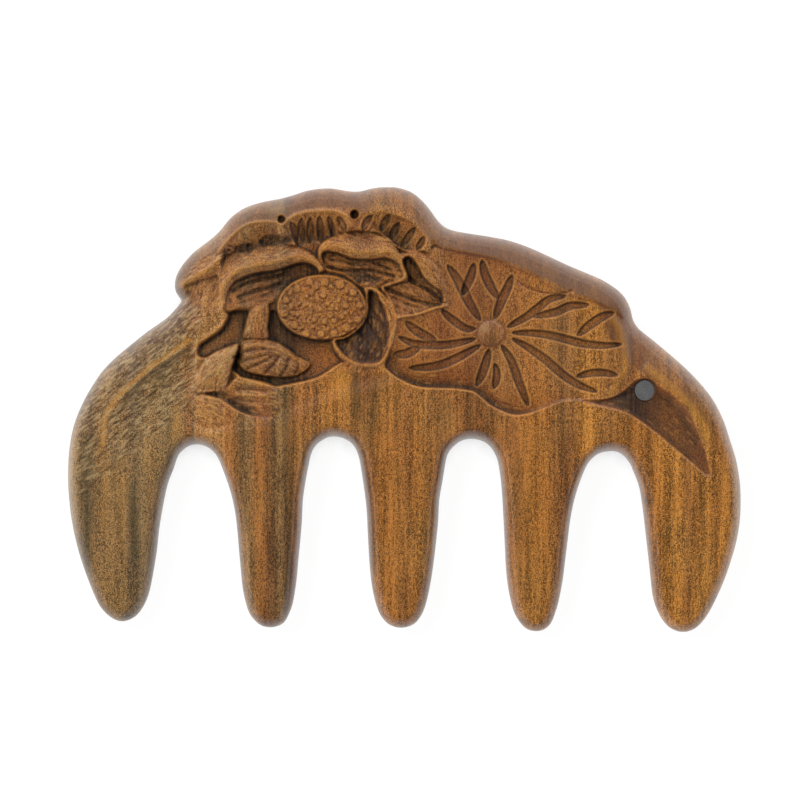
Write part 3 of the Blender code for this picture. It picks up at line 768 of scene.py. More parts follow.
# %% The seed pod
POD_CENTRE = (321.8, 307.2)
POD_HALVES = (44.8, 32.6)
pod_ring = np.hypot((map_x - POD_CENTRE[0]) / POD_HALVES[0], (map_y - POD_CENTRE[1]) / POD_HALVES[1])
pod_share = ease(0.5 + (1 - pod_ring) * 38 / 2.4)
stain_and_shade = stain_and_shade * (1 - pod_share) + (0.16 + 0.12 * pod_ring) * pod_share
pod_top = -0.75 + 0.50 * np.sqrt(np.clip(1 - (pod_ring * 0.9) ** 2, 0, 1))
face = face * (1 - pod_share) + pod_top * pod_share
pod_line = [
    (POD_CENTRE[0] + POD_HALVES[0] * 0.975 * math.cos(a), POD_CENTRE[1] + POD_HALVES[1] * 0.97 * math.sin(a))
    for a in np.linspace(0, 2 * math.pi, 28, endpoint=False)
]
ridge(pod_line, 1.9, 0.28, closed=True)
POD_SEEDS = drawn("""
    309.3,282.5,3.4 325,282.3,3.8 340,284.5,4.2 353.2,292.5,3.6 359.8,305.5,3.4 357.8,319.5,3.6
    346.3,327.8,3.8 334.2,333.4,3.5 320.8,334,3.5 306.5,333.6,3.7 294.3,325,3.6 284.2,313.5,3.6
    286.6,300.5,3.2 297.2,288.6,3.6 323.2,295,3.2 334.5,293.5,2.8 346,305.8,2.8 342.2,316.5,2.8 330,315,3.2
    324.5,322,2.6 334.2,321,2.6 312.2,293.5,2.2 297.5,314.8,2.0 314.5,320,2.4 304.5,305,2.2 299,303.5,1.9
    317.5,300,2.2 327.5,303.5,2.4 338.5,301,2.2 345.3,313,2.2 307,296.5,2.0 310.5,312.5,2.1 320.5,309.5,2.2
    304,321.5,2.2 313,326.5,2.2 350.5,299.5,2.2 337,309,2.0 291.5,307.5,1.9 328,329,2.0 317,287.5,2.0
    331,286.8,2.2 346.5,291.5,2.0 289.5,294,1.8 350.5,321.5,2.2 300,328.5,1.9 292,318.5,1.8""")
# Each seed is rubbed bright with a painted highlight and ringed with painted shade.
for x, y, radius in POD_SEEDS:
    ring = np.hypot(map_x - x, map_y - y) - radius * 1.2
    stain_and_shade = np.maximum(stain_and_shade, 0.70 * np.exp(-((ring / 1.0) ** 2)))
    bead(x, y, radius * 1.1, 0.24 * radius, wear_and_highlight=0.8)
for _ in range(700):
    turn = rng.uniform(0, 2 * math.pi)
    out = rng.uniform(0, 0.94) ** 0.5
    x = POD_CENTRE[0] + POD_HALVES[0] * out * math.cos(turn)
    y = POD_CENTRE[1] + POD_HALVES[1] * out * math.sin(turn)
    if rng.random() < 0.4:
        knife_mark(x, y, rng.uniform(0.5, 2.5), rng.uniform(-2, 2), 1.2, 0.08, dark=rng.uniform(0.4, 1.0))
    else:
        knife_mark(x, y, rng.uniform(0.5, 1.5), rng.uniform(-1, 1), 1.4, -0.10, wear_and_highlight=rng.uniform(0.4, 1.0))
print("seeds on the pod:", len(POD_SEEDS))

# %% The petal right of the pod
POD_PETAL = drawn("""
    364,288 370,286.5 376,288.5 381,292 386.5,297.5 391.5,304.5 394.5,312 396.5,320 397,328 394.5,337
    391.5,345 388.5,352 386.5,360 383.5,364.5 378,367 368,368.3 358,367.3 349,364.7 341.5,359.5 335.5,352
    332.5,345 333,339.5 345,336.5 356,329 364,319 367,307 366,297""")
pod_petal_rim = POD_PETAL[:21]
lay(POD_PETAL, falling(pod_petal_rim, 6, -0.30, -0.20), soft=1.3)
POD_PETAL_HOLLOW = drawn("""
    370,290.5 376,294 380,300.5 384.5,310 387.5,320 389.5,330 388.5,340 386.5,349 383.5,356.5 380,361
    372,362.7 363,362.8 353.5,360.5 345.5,355.5 339.5,348.5 336,341 346,338 357.5,330.5 365.5,320 368.5,308
    368,298""")
pod_wall = falling(pod_line, 26, -2.2, -0.95, closed=True)
lay(POD_PETAL_HOLLOW, pod_wall, soft=1.5, dark=falling(pod_line, 26, 0.96, 0.86, closed=True))
hatch(POD_PETAL, "372,292 385,315 385,340 375,360", 620, length=7, dark=0.9)
groove("356,330 363,338 371,347 378,353", 2.8, 0.35, dark=0.7)
groove("365,319 370,327 377,337 383,346", 2.6, 0.35, dark=0.6)
groove("347,340 354,348 364,356", 2.4, 0.25, dark=0.5)
groove("371,306 376,318 382,330", 2.6, 0.30, dark=0.4)
ridge("334,342 338,350 346,358.5 356,364 368,366 379,364 386,356", 3.0, 0.25)
ridge("386,356 391,345 394.5,330 395,315 389,302 381,293 372,288", 3.2, 0.20)
print("pod petal done")

# %% The bud below the stem
BUD = drawn("""
    238,345 247.5,339.5 262.5,339 275,341 285,346 295,354 304,359.5 310,362.5 309,367.5 302.5,373 292.5,377
    277.5,377.5 260,375.5 246,371.5 237,363 235.5,353""")
lay(BUD, swelling(BUD, 15, -1.55, -0.70), soft=1.2)
hatch(BUD, "240,355 270,350 305,365", 420, length=6)
for vein in (
    "242,353 252,350 264,349",
    "241,362 252,358.5 266,355.5",
    "248,369 258,364.5 271,357.5",
    "265,373 272,366 279,357",
    "281,375.5 286,368 289,359",
    "295,374 298,368 298,361",
):
    groove(vein, 3.2, 0.36, dark=0.65)
ridge("240,347.5 255,344.5 272,347 287,353 300,362", 2.6, 0.18)
ridge("302,372.5 308.5,367 309,363 300,358.5", 2.0, 0.22)
print("bud done")

# %% The fold and the curled leaf below
FOLD = drawn("""
    239,344 230,346 217.5,351 206,358 198,367 195,377 196,386 203,390 212.5,390 223,391 228,383 231,371
    235.5,358""")
groove("238,348 236,358 233.5,370 231,382 229,393", 8, 1.4, dark=0.5)
lay(FOLD, swelling(FOLD, 15, -1.05, -0.12), soft=1.6)
# A painted highlight lies on the fold, pale at its upper left and fading towards its lower right.
pale_and_highlight = np.maximum(pale_and_highlight, leaning((206, 352), (230, 388), 0.80, 0.05) * inside(smooth_line(FOLD, closed=True)))
hatch(FOLD, "238,346 215,362 200,385", 500, length=6, dark=0.5)
# The curled leaf falls from the recess's border to a crisp line, darkened with painted shade, and runs out
# into the wood.
CURL_LINE = drawn("197,394.5 206,393.8 217,397 228,403.5 240,411 255,416 269,418")
CURL = drawn("""
    233,380 240,378 251,380 265,384 276,390 279,402 275,414 269,418 255,416 240,411 228,403.5 217,397
    206,393.8 214,391.5 224,390.5""")
curl_fade = np.interp(map_x, [248, 277], [1, 0.1])
lay(CURL, leaning((256, 382), (243, 412), -0.20, -1.35) * curl_fade, soft=1.5,
    dark=falling(CURL_LINE, 17, 1.0, 0.10) * curl_fade)
groove("197,394.5 206,393.8 217,397", 2.4, 0.45, dark=0.6)
groove("238,389 250,389.5 266,391", 3.4, 0.25, dark=0.6)
groove("237,399 250,401.5 264,402.5", 3.0, 0.20, dark=0.5)
hatch(CURL, "238,384 255,387 272,389", 260, length=6)
ridge("240,382 255,383.5 274,386", 2.6, 0.12, wear_and_highlight=0.7)
ridge("237,394.5 250,395.5 266,396", 2.4, 0.22, wear_and_highlight=0.7)
BULGE = drawn("195,399 206,397 217,400 227,407 230,418 222,427 206,428 196,422 191,410")
lay(BULGE, swelling(BULGE, 15, -0.42, -0.10), soft=5.5)
hatch(BULGE, "196,400 212,402 228,412", 240, length=6)
bead(238.5, 356.5, 3.4, -0.9)
blacken("235,353 241,353 242,360 236,360", 14)
print("curled leaf done")

# %% [markdown]
# ## Soften the cuts and find hollows and rims
# Hand work leaves no mathematically sharp edge, so the map is blurred by a fraction of a unit. Comparing
# it with a wider blur of itself shows where the surface lies below its surroundings and where it stands
# proud. Low places, deep places and steep walls are darkened as painted shade, added to the dark oil and
# wax of the stain, and raised places are brightened as rubbed wear with a painted highlight. The wood
# uses both later.

# %% Blur, hollows and rims
def blur(values, radius):
    """A Gaussian blur of the map, down its columns and then, turned, along its rows."""
    reach = math.ceil(3 * radius / MAP_STEP)
    bell = np.exp(-0.5 * (np.arange(-reach, reach + 1) * MAP_STEP / radius) ** 2)
    bell /= bell.sum()
    for _ in range(2):
        rows = len(values)
        padded = np.pad(values, ((reach, reach), (0, 0)), mode="edge")
        values = sum(weight * padded[i:i + rows] for i, weight in enumerate(bell)).T
    return values


face = blur(np.minimum(face, 0), 0.5)
fine_ground = blur(face, 1.5)
wide_ground = blur(face, 7)
# Painted shade: deep places, places below their surroundings and steep walls, joined with the stain.
deep = np.clip((-face - 0.35) / 2.1, 0, 1) ** 1.5
slope_y, slope_x = np.gradient(face, MAP_STEP)
steep = ease(np.hypot(slope_x, slope_y) / 0.45)
below_wide = np.clip((wide_ground - face) / 1.0, 0, 1)
below_fine = np.clip((fine_ground - face) / 0.25, 0, 1)
wax_and_shade_map = np.clip(0.50 * deep + 0.42 * below_wide + 0.45 * below_fine + 0.30 * steep, 0, 1)
wax_and_shade_map = blur(1 - (1 - wax_and_shade_map) * (1 - stain_and_shade), 0.3)
# Raised places, less in deep ones, and the polish map: rubbed wear with a painted highlight.
rim_wear_and_highlight_map = np.clip((face - fine_ground - 0.04) / 0.22, 0, 1) * (0.8 - 0.5 * deep)
rim_wear_and_highlight_map = np.clip(np.maximum(rim_wear_and_highlight_map, blur(polish_and_highlight, 0.4)), 0, 1)
print("deepest cut after the blur, mm:", round(float(face.min()), 2))

# %% Rough and sanded places, and painted shade on the roll
# The flower and the left shoulder are left rough from the knife. The teeth and the roll are sanded.
flower_share = inside(smooth_line(FLOWER, closed=True))
shoulder_share = inside(smooth_line(left_scoop, closed=True))
rough_map = blur((flower_share | shoulder_share).astype(float), 6)
left_side = np.interp(map_x, [90, 220], [1.0, 0.0]) * np.interp(map_y, [430, 500], [1, 0.4])
rough_map = np.maximum(np.maximum(rough_map, left_side), 0.3 * (face < -0.4))
rough_map = rough_map * (1 - 0.8 * ease(outer_roll / 0.9))
# The roll is painted darker and greyer than the face, most of all over the leaf: painted shade where it turns
# away from the light, with a painted grey sheen.
SLOPE_SHADE_PLACES = (0.1, 0.2, 0.27, 0.41, 0.45, 0.50, 0.56, 0.60, 0.70, 0.80, 0.9)
SLOPE_SHADE_SHARES = (0.1, 0.3, 0.8, 0.8, 1.0, 0.5, 0.8, 1.0, 1.0, 0.7, 0.2)
slope_shade_fade = np.interp(outer_share, [0.30, 0.45, 0.52, 0.58], [0.5, 0.3, 0.5, 0.15])
slope_shade_map = np.interp(outer_share, SLOPE_SHADE_PLACES, SLOPE_SHADE_SHARES)
slope_shade_map = slope_shade_map * ease((1 - outer_distance / roll_width) / slope_shade_fade)
# Streaks of darker and of golden wood on the plain ground: middle, top, bottom, half width, strength.
DARK_STREAKS = drawn("""
    355,366,425,5,0.55 381,366,415,6,0.50 368,366,400,3,0.35 284,384,440,6,0.35 447,395,440,6,0.35
    471,400,440,4,0.30 563,405,470,4,0.30 243,420,450,5,0.30 355,372,425,6,0.75 376,372,440,7,0.60
    88,430,610,7,0.65 134,480,570,5,0.75 151,530,605,5,0.35 168,408,450,3,0.80 160,362,402,9,0.50
    113,440,520,4,0.30 290,440,600,4,0.40 427,450,600,4,0.35 519,450,600,4,0.35 673,480,610,3,0.30
    703,470,580,4,0.30""")
GOLDEN_STREAKS = drawn("""
    342,366,408,8,0.90 324,376,420,4,0.25 398,378,430,4,0.25 585,405,450,6,0.30 655,432,470,5,0.20
    530,418,600,5,0.20 176,402,446,4,0.60 104,410,540,4,0.35 122,470,560,4,0.25 398,440,600,5,0.20""")


def streaks(rows):
    """Soft upright streaks that wander a little."""
    total = np.zeros(map_x.shape)
    for middle, top, bottom, half_width, strength in rows:
        sway = middle + 1.2 * np.sin((map_y + middle) / 13)
        band = np.exp(-(((map_x - sway) / half_width) ** 2))
        ends = ease((map_y - top) / 10) * ease((bottom - map_y) / 20)
        total = np.maximum(total, 0.7 * strength * band * ends)
    return total


plain_ground = ((face > -0.45) & (stain_and_shade < 0.3)) | (map_x < 190)
mineral_map = streaks(DARK_STREAKS) * plain_ground
# The right scoop gets the same painted shade.
slope_shade_map = np.maximum(slope_shade_map, 0.5 * inside(SCOOP_UPPER_EDGE + SCOOP_LOWER_EDGE))
rim_wear_and_highlight_map = np.maximum(rim_wear_and_highlight_map, streaks(GOLDEN_STREAKS) * plain_ground)
# The left petals are painted a little paler, and a patch on the roll beside the left eye gets a pale painted
# sheen.
roll_sheen_patch = np.exp(-(((map_x - 276) / 11) ** 2) - ((map_y - 209) / 6) ** 2)
left_petals = 0.08 * flower_share * np.interp(map_x, [270, 350], [1, 0]) * (1 - stain_and_shade)
pale_and_highlight_map = np.clip(blur(np.maximum(np.maximum(pale_and_highlight, left_petals), 0.25 * roll_sheen_patch), 0.3), 0, 1)
print("hollow share of the map:", round(float((wax_and_shade_map > 0.4).mean()), 3))

# %% [markdown]
# ## Finer faces under the carving
# A quarter of a millimetre is enough for the teeth, but not for a petal's rim. The front faces inside
# the carved area are cut in two both ways.

# %% Cut the carved faces smaller
CARVED_AREA = drawn("""
    176,262 205,236 232,208 262,197 330,185 400,184 440,215 480,232 540,248 610,280 640,325 668,372 705,425
    716,480 690,470 640,425 590,410 530,420 470,400 400,396 300,425 200,440 140,450 84,440 80,410 120,350
    170,316""")
carved_share = inside(smooth_line(CARVED_AREA, closed=True))


def look_up(values, x, y):
    """The map's value at drawn points, blended between its four nearest cells."""
    col = np.clip((x - MAP_BOX[0]) / MAP_STEP, 0, values.shape[1] - 1.001)
    row = np.clip((y - MAP_BOX[1]) / MAP_STEP, 0, values.shape[0] - 1.001)
    c, r = col.astype(int), row.astype(int)
    fc, fr = col - c, row - r
    above = values[r, c] * (1 - fc) + values[r, c + 1] * fc
    below = values[r + 1, c] * (1 - fc) + values[r + 1, c + 1] * fc
    return above * (1 - fr) + below * fr


bm = bmesh.new()
bm.from_mesh(blank)
centres = np.array([f.calc_center_median() for f in bm.faces])
x, y = plane_to_board(centres, THICKNESS)
on_front = centres[:, 2] > MIDDLE_PLANE + SLAB_HALF * 0.9
wanted = on_front & (look_up(carved_share.astype(float), x, y) > 0.5)
bm.faces.ensure_lookup_table()
chosen = [bm.faces[i] for i in np.flatnonzero(wanted)]
edges = list({e for f in chosen for e in f.edges})
bmesh.ops.subdivide_edges(bm, edges=edges, cuts=1, use_grid_fill=True)
bm.to_mesh(blank)
bm.free()
print("faces after the cut:", len(blank.polygons))

# %% [markdown]
# ## Round the slab and press the carving in
# Each point of the thin slab is carried round a quarter ellipse from the outline's wall to the flat face,
# so the rounding gets its full share of faces. The front then drops by the roll and by the relief. The
# teeth also thin towards their tips, by the same easing as in the CAD model.

# %% Shape the blank
EDGE_REACH = 2.0e-3 / UNIT
HOLE_REACH = 0.35e-3 / UNIT
TIP_THICKNESS = 6.2e-3
TIP_LINE = -0.038
TAPER_LINE = 1.54e-3

co = np.empty(len(blank.vertices) * 3)
blank.vertices.foreach_get("co", co)
co = co.reshape(-1, 3)
side = (co[:, 2] - MIDDLE_PLANE) / SLAB_HALF
x, y = plane_to_board(co, MIDDLE_PLANE)
distance = look_up(wall_distance, x, y)
reach = np.where(look_up(hole_distance, x, y) < look_up(edge_distance, x, y), HOLE_REACH, EDGE_REACH)
push_x, push_y = look_up(toward_x, x, y), look_up(toward_y, x, y)
length = np.maximum(np.hypot(push_x, push_y), 1e-6)
on_flat = np.clip(distance / reach, 0, 1)
turn = (0.5 * np.minimum(np.abs(side), 1) + 0.5 * on_flat) * math.pi / 2
inset = reach * (1 - np.cos(turn)) - distance
inset = np.where(on_flat < 1, inset, 0)
co[:, 0] += inset * push_x / length * UNIT
co[:, 1] -= inset * push_y / length * UNIT
print("largest inset, mm:", round(float(np.abs(inset).max() * UNIT * 1000), 2))

# %% Thin the teeth and lower the front
BACK_ROLL_SHARE = 0.55
CLEARANCE = 2e-5
t = np.clip((co[:, 1] - TIP_LINE) / (TAPER_LINE - TIP_LINE), 0, 1)
half = (TIP_THICKNESS + (THICKNESS - TIP_THICKNESS) * (t + t * (1 - t))) / 2
x, y = plane_to_board(co, MIDDLE_PLANE)
roll = look_up(outer_roll, x, y) * 1e-3
front_x, front_y = plane_to_board(co, THICKNESS - 1e-3)
relief = look_up(face, front_x, front_y) * 1e-3
rise = np.sin(turn)
front = side > 0
front_height = (half - roll + relief) * rise
back_height = (half - roll * BACK_ROLL_SHARE) * rise
co[:, 2] = MIDDLE_PLANE + np.where(front, front_height, -back_height)
for axis in range(3):
    co[:, axis] = np.clip(co[:, axis], cad_box[0][axis] + CLEARANCE, cad_box[1][axis] - CLEARANCE)
blank.vertices.foreach_set("co", co.ravel())
blank.update()
weight = np.clip(rise, 0, 1) * front
wood_maps = {
    "hollow": wax_and_shade_map, "rim": rim_wear_and_highlight_map, "rough": rough_map, "slope_shade": slope_shade_map, "pale_and_highlight": pale_and_highlight_map,
    "mineral": mineral_map,
}
for name, values in wood_maps.items():
    layer = blank.attributes.new(name, "FLOAT", "POINT")
    layer.data.foreach_set("value", (look_up(values, front_x, front_y) * weight).astype(np.float32))
print("blank, mm:", np.round((co.max(0) - co.min(0)) * 1000, 2))

# %% [markdown]
# ## Saw the blank into its staves
# The real comb is glued up before it is carved, so its joints run straight through the carving. We do
# the same: each stave is a copy of the whole blank, cut by two bisecting planes and closed at the cuts.

# %% Saw the staves
STAVES = ("left_end_stave", "left_stave", "middle_stave", "right_stave", "right_end_stave")
JOINTS = [-0.0363, -0.0141, 0.0109, 0.0345]


def saw(mesh, name, left, right):
    """The part of the blank between two upright joints, closed at the cuts."""
    bm = bmesh.new()
    bm.from_mesh(mesh)
    for cut, outward in ((left, -1), (right, 1)):
        if cut is None:
            continue
        bmesh.ops.bisect_plane(
            bm, geom=bm.verts[:] + bm.edges[:] + bm.faces[:], dist=1e-7,
            plane_co=(cut, 0, 0), plane_no=(outward, 0, 0), clear_outer=True,
        )
    open_edges = [e for e in bm.edges if e.is_boundary]
    capped = bmesh.ops.holes_fill(bm, edges=open_edges, sides=0)["faces"]
    for face_ in bm.faces:
        face_.smooth = True
    for face_ in capped:
        face_.smooth = False
        for edge in face_.edges:
            edge.smooth = False
    piece = bpy.data.meshes.new(name)
    bm.to_mesh(piece)
    bm.free()
    return add_object(name + "_carved", piece)


staves = {}
for name, left, right in zip(STAVES, [None] + JOINTS, JOINTS + [None]):
    staves[name] = saw(blank, name, left, right)
    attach(staves[name], "root")
    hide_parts(name)
    triangles = sum(len(p.vertices) - 2 for p in staves[name].data.polygons)
    print(name, "triangles:", triangles)

# %% [markdown]
# ## The wood
# The comb is an oiled tropical hardwood of the verawood kind: yellow-brown to olive, with dark upright
# streaks, short open pores and an oily shine. One small function adds a node with its inputs and
# settings, and one turns hex colours to linear.

# %% Node helpers
def linear(hex_colour):
    """An sRGB hex colour as linear red, green, blue and alpha."""
    parts = [int(hex_colour[i:i + 2], 16) / 255 for i in (1, 3, 5)]
    return [c / 12.92 if c <= 0.04045 else ((c + 0.055) / 1.055) ** 2.4 for c in parts] + [1.0]


def fill(tree, node, inputs):
    """Fills a node's inputs: each is a value, a socket, or a node whose first output is meant."""
    for key, value in inputs.items():
        if isinstance(value, bpy.types.Node):
            value = value.outputs[0]
        if isinstance(value, bpy.types.NodeSocket):
            tree.links.new(value, node.inputs[key])
        else:
            node.inputs[key].default_value = value


def add_node(tree, kind, inputs=None, **settings):
    """Adds a node with these settings, and fills its inputs."""
    node = tree.nodes.new("ShaderNode" + kind)
    for key, value in settings.items():
        setattr(node, key, value)
    fill(tree, node, inputs or {})
    return node


def add_ramp(node, stops):
    """Sets a Color Ramp's stops from pairs of place and hex colour."""
    ramp = node.color_ramp
    while len(ramp.elements) > 1:
        ramp.elements.remove(ramp.elements[-1])
    for i, (place, colour) in enumerate(stops):
        element = ramp.elements[0] if i == 0 else ramp.elements.new(place)
        element.position = place
        element.color = linear(colour)


print("a mid brown, linear:", [round(c, 3) for c in linear("#93633a")])

# %% The marks of the grain
# Noises stretched along the grain, with their repeats to a metre across the grain, along it and into the
# wood, and their detail. A streak is 1.4 mm wide, a line 0.4 mm, a fibre 0.18 mm and a speck 0.16 mm. A
# pore is a dash 0.2 mm wide and 1 mm long, and a cloud is 8 by 18 mm.
NOISES = {
    "wander": ((90, 28, 60), 2),
    "cloud": ((130, 55, 90), 1),
    "streak": ((700, 22, 300), 2),
    "line": ((2300, 130, 900), 2),
    "fibre": ((5600, 1700, 2500), 2),
    "speck": ((6200, 5200, 5800), 2),
    "pore": ((4600, 900, 2000), 1),
}
# How strongly each mark shows on smooth and on rough wood.
# On rough wood the strong specks are grain and also painted glints.
STRENGTHS = {"streak": (0.40, 0.20), "line": (0.36, 0.26), "fibre": (0.52, 0.60), "speck": (0.95, 2.00)}
# Colours of dark wax and painted shade in the hollows, from the lightest to the deepest.
RED_WAX_AND_SHADE = ((0.0, "#8a3404"), (0.45, "#6a2a06"), (0.75, "#301608"), (1.0, "#150d08"))
BROWN_WAX_AND_SHADE = ((0.0, "#5e3c18"), (0.45, "#483014"), (0.75, "#2a1c10"), (1.0, "#15100a"))
WANDER = 1.1e-3
print("grain noises:", ", ".join(NOISES))

# %% The oiled hardwood
# A Mix node for colours has its share at input 0, its colours at 6 and 7, and the result at output 2.
def oiled_hardwood(name, left, right, stripes, wax_and_shade_tones):
    """Oiled verawood with broad upright stripes across one stave, from its left joint to its right."""
    material = bpy.data.materials.new(name)
    material.use_nodes = True
    tree = material.node_tree
    place = add_node(tree, "TexCoord").outputs["Object"]
    layers = {layer: add_node(tree, "Attribute", attribute_name=layer).outputs["Fac"] for layer in wood_maps}
    noises = {}
    for mark, (scale, detail) in NOISES.items():
        stretched = add_node(tree, "Mapping", {0: place, "Scale": scale})
        noises[mark] = add_node(tree, "TexNoise", {"Vector": stretched, "Scale": 1.0, "Detail": detail})

    # The stripes wander by about half a millimetre over the comb's height.
    apart = add_node(tree, "SeparateXYZ", {0: place})
    shifted = add_node(
        tree, "Math", {0: noises["wander"], 1: 2 * WANDER, 2: apart.outputs["X"]}, operation="MULTIPLY_ADD")
    across = add_node(
        tree, "MapRange", {"Value": shifted, "From Min": left + WANDER, "From Max": right + WANDER})
    broad = add_node(tree, "ValToRGB", {0: across})
    add_ramp(broad, stripes)
    # Clouds of olive gold.
    clouds = add_node(
        tree, "MapRange", {"Value": noises["cloud"], "From Min": 0.42, "From Max": 0.70, "To Max": 0.30})
    gilded = add_node(tree, "Mix", {0: clouds, 6: broad, 7: linear("#94703a")}, data_type="RGBA").outputs[2]

    # The grain darkens and lightens the stripes.
    total = 1.0
    for mark, (smooth, rough) in STRENGTHS.items():
        strength = add_node(tree, "MapRange", {"Value": layers["rough"], "To Min": smooth, "To Max": rough})
        signed = add_node(tree, "MapRange", {
            "Value": noises[mark], "From Min": 0.3, "From Max": 0.7, "To Min": -1.0, "To Max": 1.0})
        total = add_node(tree, "Math", {0: signed, 1: strength, 2: total}, operation="MULTIPLY_ADD")
    held = add_node(tree, "Clamp", {"Value": total, "Min": 0.28, "Max": 1.85})
    grained = add_node(tree, "VectorMath", {0: gilded, "Scale": held}, operation="SCALE")
    pores = add_node(
        tree, "MapRange", {"Value": noises["pore"], "From Min": 0.67, "From Max": 0.75, "To Max": 0.6})
    wood = add_node(tree, "Mix", {0: pores, 6: grained, 7: linear("#4a2a10")}, data_type="RGBA").outputs[2]

    # Mineral streaks are dark, and the roll and the right scoop carry painted shade in a duller brown. Rims
    # are bright where the specks let them, as rubbed wear with a painted highlight, and pale marks are pale
    # cuts with painted highlights and glints. Hollows hold dark wax and painted shade, more of it along some
    # lines of the grain.
    broken = add_node(tree, "MapRange", {
        "Value": noises["speck"], "From Min": 0.35, "From Max": 0.65, "To Min": 0.6, "To Max": 1.25})
    soaked = add_node(tree, "MapRange", {
        "Value": noises["line"], "From Min": 0.35, "From Max": 0.65, "To Min": 0.70, "To Max": 1.05})
    for layer, share, tone in (
        ("mineral", 0.80, "#463e20"), ("slope_shade", 0.75, "#583824"), ("rim", 0.75, "#c68a3a"),
        ("pale_and_highlight", 0.70, "#b89e70"),
    ):
        amount = add_node(tree, "Math", {0: layers[layer], 1: share}, operation="MULTIPLY")
        if layer == "rim":
            amount = add_node(tree, "Math", {0: amount, 1: broken}, operation="MULTIPLY")
        wood = add_node(tree, "Mix", {0: amount, 6: wood, 7: linear(tone)}, data_type="RGBA").outputs[2]
    wax_and_shade_ramp = add_node(tree, "ValToRGB", {0: layers["hollow"]})
    add_ramp(wax_and_shade_ramp, wax_and_shade_tones)
    covering = add_node(tree, "Math", {0: layers["hollow"], 1: soaked}, operation="MULTIPLY")
    waxed_and_shaded = add_node(tree, "Mix", {0: covering, 6: wood, 7: wax_and_shade_ramp}, data_type="RGBA")

    dull = add_node(tree, "Math", {0: layers["rough"], 1: layers["hollow"]}, operation="MAXIMUM")
    polish_and_highlight = add_node(tree, "MapRange", {"Value": dull, "To Min": 0.34, "To Max": 0.75})
    height = add_node(tree, "Math", {0: noises["fibre"], 1: noises["speck"]}, operation="ADD")
    lift = add_node(tree, "MapRange", {"Value": layers["rough"], "To Min": 0.25, "To Max": 1.0})
    bump = add_node(tree, "Bump", {"Strength": lift, "Distance": 8e-5, "Height": height})
    # The coat is a thin film of wax, rubbed to a dull shine.
    fill(tree, tree.nodes["Principled BSDF"], {
        "Base Color": waxed_and_shaded.outputs[2], "Roughness": polish_and_highlight, "Normal": bump, "IOR": 1.50,
        "Coat Weight": 0.35, "Coat Roughness": 0.38})
    return material


print("layers that the wood reads:", ", ".join(wood_maps))

# %% Wood on the staves
EDGES = [cad_box[0].x] + JOINTS + [cad_box[1].x]
TONES = {
    "honey": "#a46c2e", "wheat": "#986c3c", "amber": "#945f29", "tan": "#8a592b", "sand": "#80603a",
    "straw": "#8f724c", "chestnut": "#784c26", "umber": "#6a482a", "dark": "#583e26", "olive": "#745c3c",
    "grey_olive": "#644f38",
}
# From the left joint to the right: the place of each tone, in hundredths of the stave's width.
STAVE_STRIPES = {
    "left_end_stave": """0 straw, 10 olive, 17 grey_olive, 23 sand, 34 sand, 44 sand, 52 grey_olive, 60 olive,
        68 sand, 78 olive, 90 sand, 100 tan""",
    "left_stave": """0 sand, 5 wheat, 24 wheat, 31 tan, 44 sand, 52 tan, 62 umber, 68 sand, 73 dark,
        78 chestnut, 85 tan, 100 tan""",
    "middle_stave": """0 amber, 17 amber, 23 chestnut, 32 chestnut, 40 amber, 58 tan, 65 amber, 74 tan,
        82 chestnut, 90 tan, 100 chestnut""",
    "right_stave": """0 chestnut, 22 tan, 34 tan, 46 amber, 56 amber, 64 tan, 70 chestnut, 76 tan, 82 honey,
        92 honey, 100 tan""",
    "right_end_stave": """0 tan, 14 amber, 34 amber, 42 honey, 54 honey, 58 tan, 64 amber, 72 honey, 78 amber,
        90 honey, 100 straw""",
}
for i, name in enumerate(STAVES):
    pairs = (stripe.split() for stripe in STAVE_STRIPES[name].split(","))
    stripes = [(int(place) / 100, TONES[tone]) for place, tone in pairs]
    wax_and_shade_tones = BROWN_WAX_AND_SHADE if name == "left_end_stave" else RED_WAX_AND_SHADE
    wood = oiled_hardwood("oiled_verawood_" + name, EDGES[i], EDGES[i + 1], stripes, wax_and_shade_tones)
    staves[name].data.materials.clear()
    staves[name].data.materials.append(wood)
print("wood on", len(staves), "staves")

# %% [markdown]
# ## Table, light and camera
# The comb lies on a white table in a white tent, under one soft box. The table looks white to the camera
# and keeps a faint shadow.

# %% The white table
bm = bmesh.new()
bmesh.ops.create_grid(bm, x_segments=1, y_segments=1, size=1.5)
table = mesh_object("white_table", bm)
white = bpy.data.materials.new("white_paper")
white.use_nodes = True
tree = white.node_tree
fill(tree, tree.nodes["Principled BSDF"], {"Base Color": (0.9, 0.9, 0.9, 1), "Roughness": 0.9})
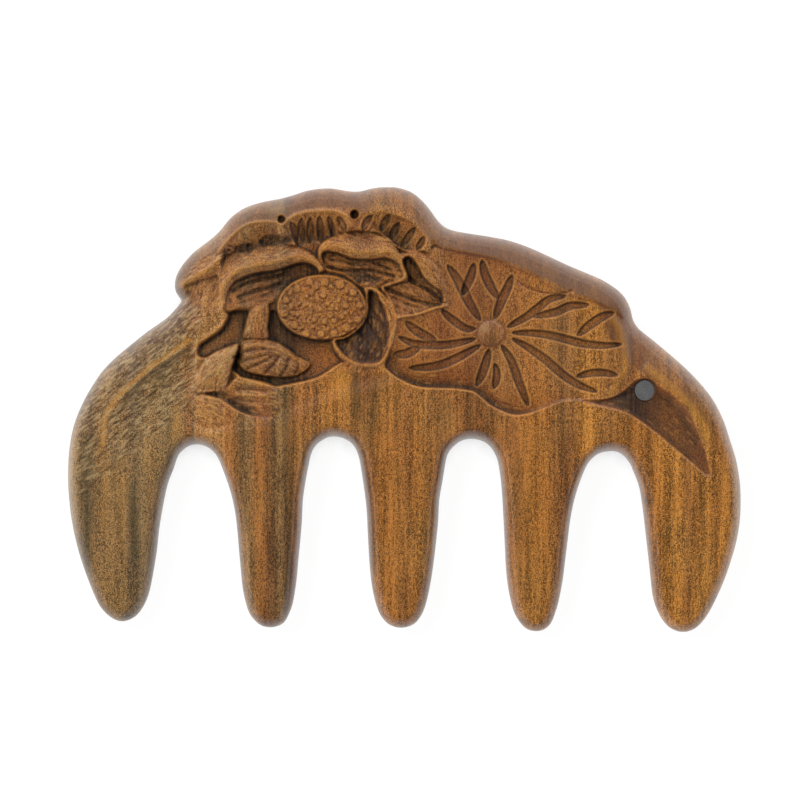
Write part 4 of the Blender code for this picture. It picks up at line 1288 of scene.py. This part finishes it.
# Rays that look at the table see paper white, with painted shade only where the comb stands close all round.
paths = add_node(tree, "LightPath").outputs
glossy = add_node(tree, "Math", {0: paths["Is Camera Ray"], 1: paths["Is Glossy Ray"]}, operation="MAXIMUM")
seen = add_node(tree, "Math", {0: glossy, 1: paths["Is Transmission Ray"]}, operation="MAXIMUM")
seen_share = add_node(tree, "Math", {0: seen, 1: 0.92}, operation="MULTIPLY")
open_sky = add_node(tree, "AmbientOcclusion", {"Distance": 0.006}, samples=8)
paper_with_painted_shade = add_node(tree, "MapRange", {
    "Value": open_sky.outputs["AO"], "From Min": 0.08, "From Max": 0.42, "To Min": 0.03, "To Max": 1.05})
shine = add_node(tree, "Emission", {"Color": (1, 1, 1, 1), "Strength": paper_with_painted_shade})
mixed = add_node(tree, "MixShader", {0: seen_share, 1: tree.nodes["Principled BSDF"], 2: shine})
fill(tree, tree.nodes["Material Output"], {"Surface": mixed})
table.data.materials.append(white)
print("table ready")

# %% Light
# The room is a white tent, bright near the table, beyond the comb's top and at both sides, and dim
# overhead, where the photographer stands. So rounded edges pick up a pale shine, and the flat face keeps
# its colour. Each wall is an axis, where along it the wall starts and is full, and its strength.
TENT_WALLS = (
    ("Z", 0.42, 0.00, 1.15), ("Y", 0.20, 0.75, 1.05), ("X", -0.35, -0.80, 0.55), ("X", 0.50, 0.90, 0.50),
)
world = bpy.data.worlds.new("white_tent")
bpy.context.scene.world = world
world.use_nodes = True
tree = world.node_tree
toward = add_node(tree, "SeparateXYZ", {0: add_node(tree, "TexCoord").outputs["Generated"]})
tent = 0.08
for axis, start, full, strength in TENT_WALLS:
    wall = add_node(tree, "MapRange", {
        "Value": toward.outputs[axis], "From Min": start, "From Max": full, "To Min": 0.0, "To Max": strength,
    }, interpolation_type="SMOOTHSTEP")
    tent = add_node(tree, "Math", {0: tent, 1: wall}, operation="ADD")
fill(tree, tree.nodes["Background"], {"Color": (1, 1, 1, 1), "Strength": tent})

# The main light hangs over the comb. A polarising filter takes its shine out of the picture.
LAMP_PLACE = (-0.40, 0.25, 0.95)
lamp = bpy.data.lights.new("overhead_box", "AREA")
lamp.size = 0.30
lamp.energy = 7.6
overhead = add_object("overhead_box", lamp)
overhead.location = LAMP_PLACE
overhead.rotation_euler = (-Vector(LAMP_PLACE)).to_track_quat("-Z", "Y").to_euler()
overhead.visible_glossy = False
print("tent walls:", len(TENT_WALLS))

# %% Camera
camera_data = bpy.data.cameras.new("camera")
camera_data.lens = camera_data.sensor_width * CAMERA_DISTANCE / (BOARD_SIZE * UNIT)
camera = add_object("camera", camera_data)
camera.location = (*VIEW_CENTRE, MIDDLE_PLANE + CAMERA_DISTANCE)
bpy.context.scene.camera = camera
bpy.context.scene.view_settings.view_transform = "Standard"
print("lens, mm:", round(camera_data.lens, 1))
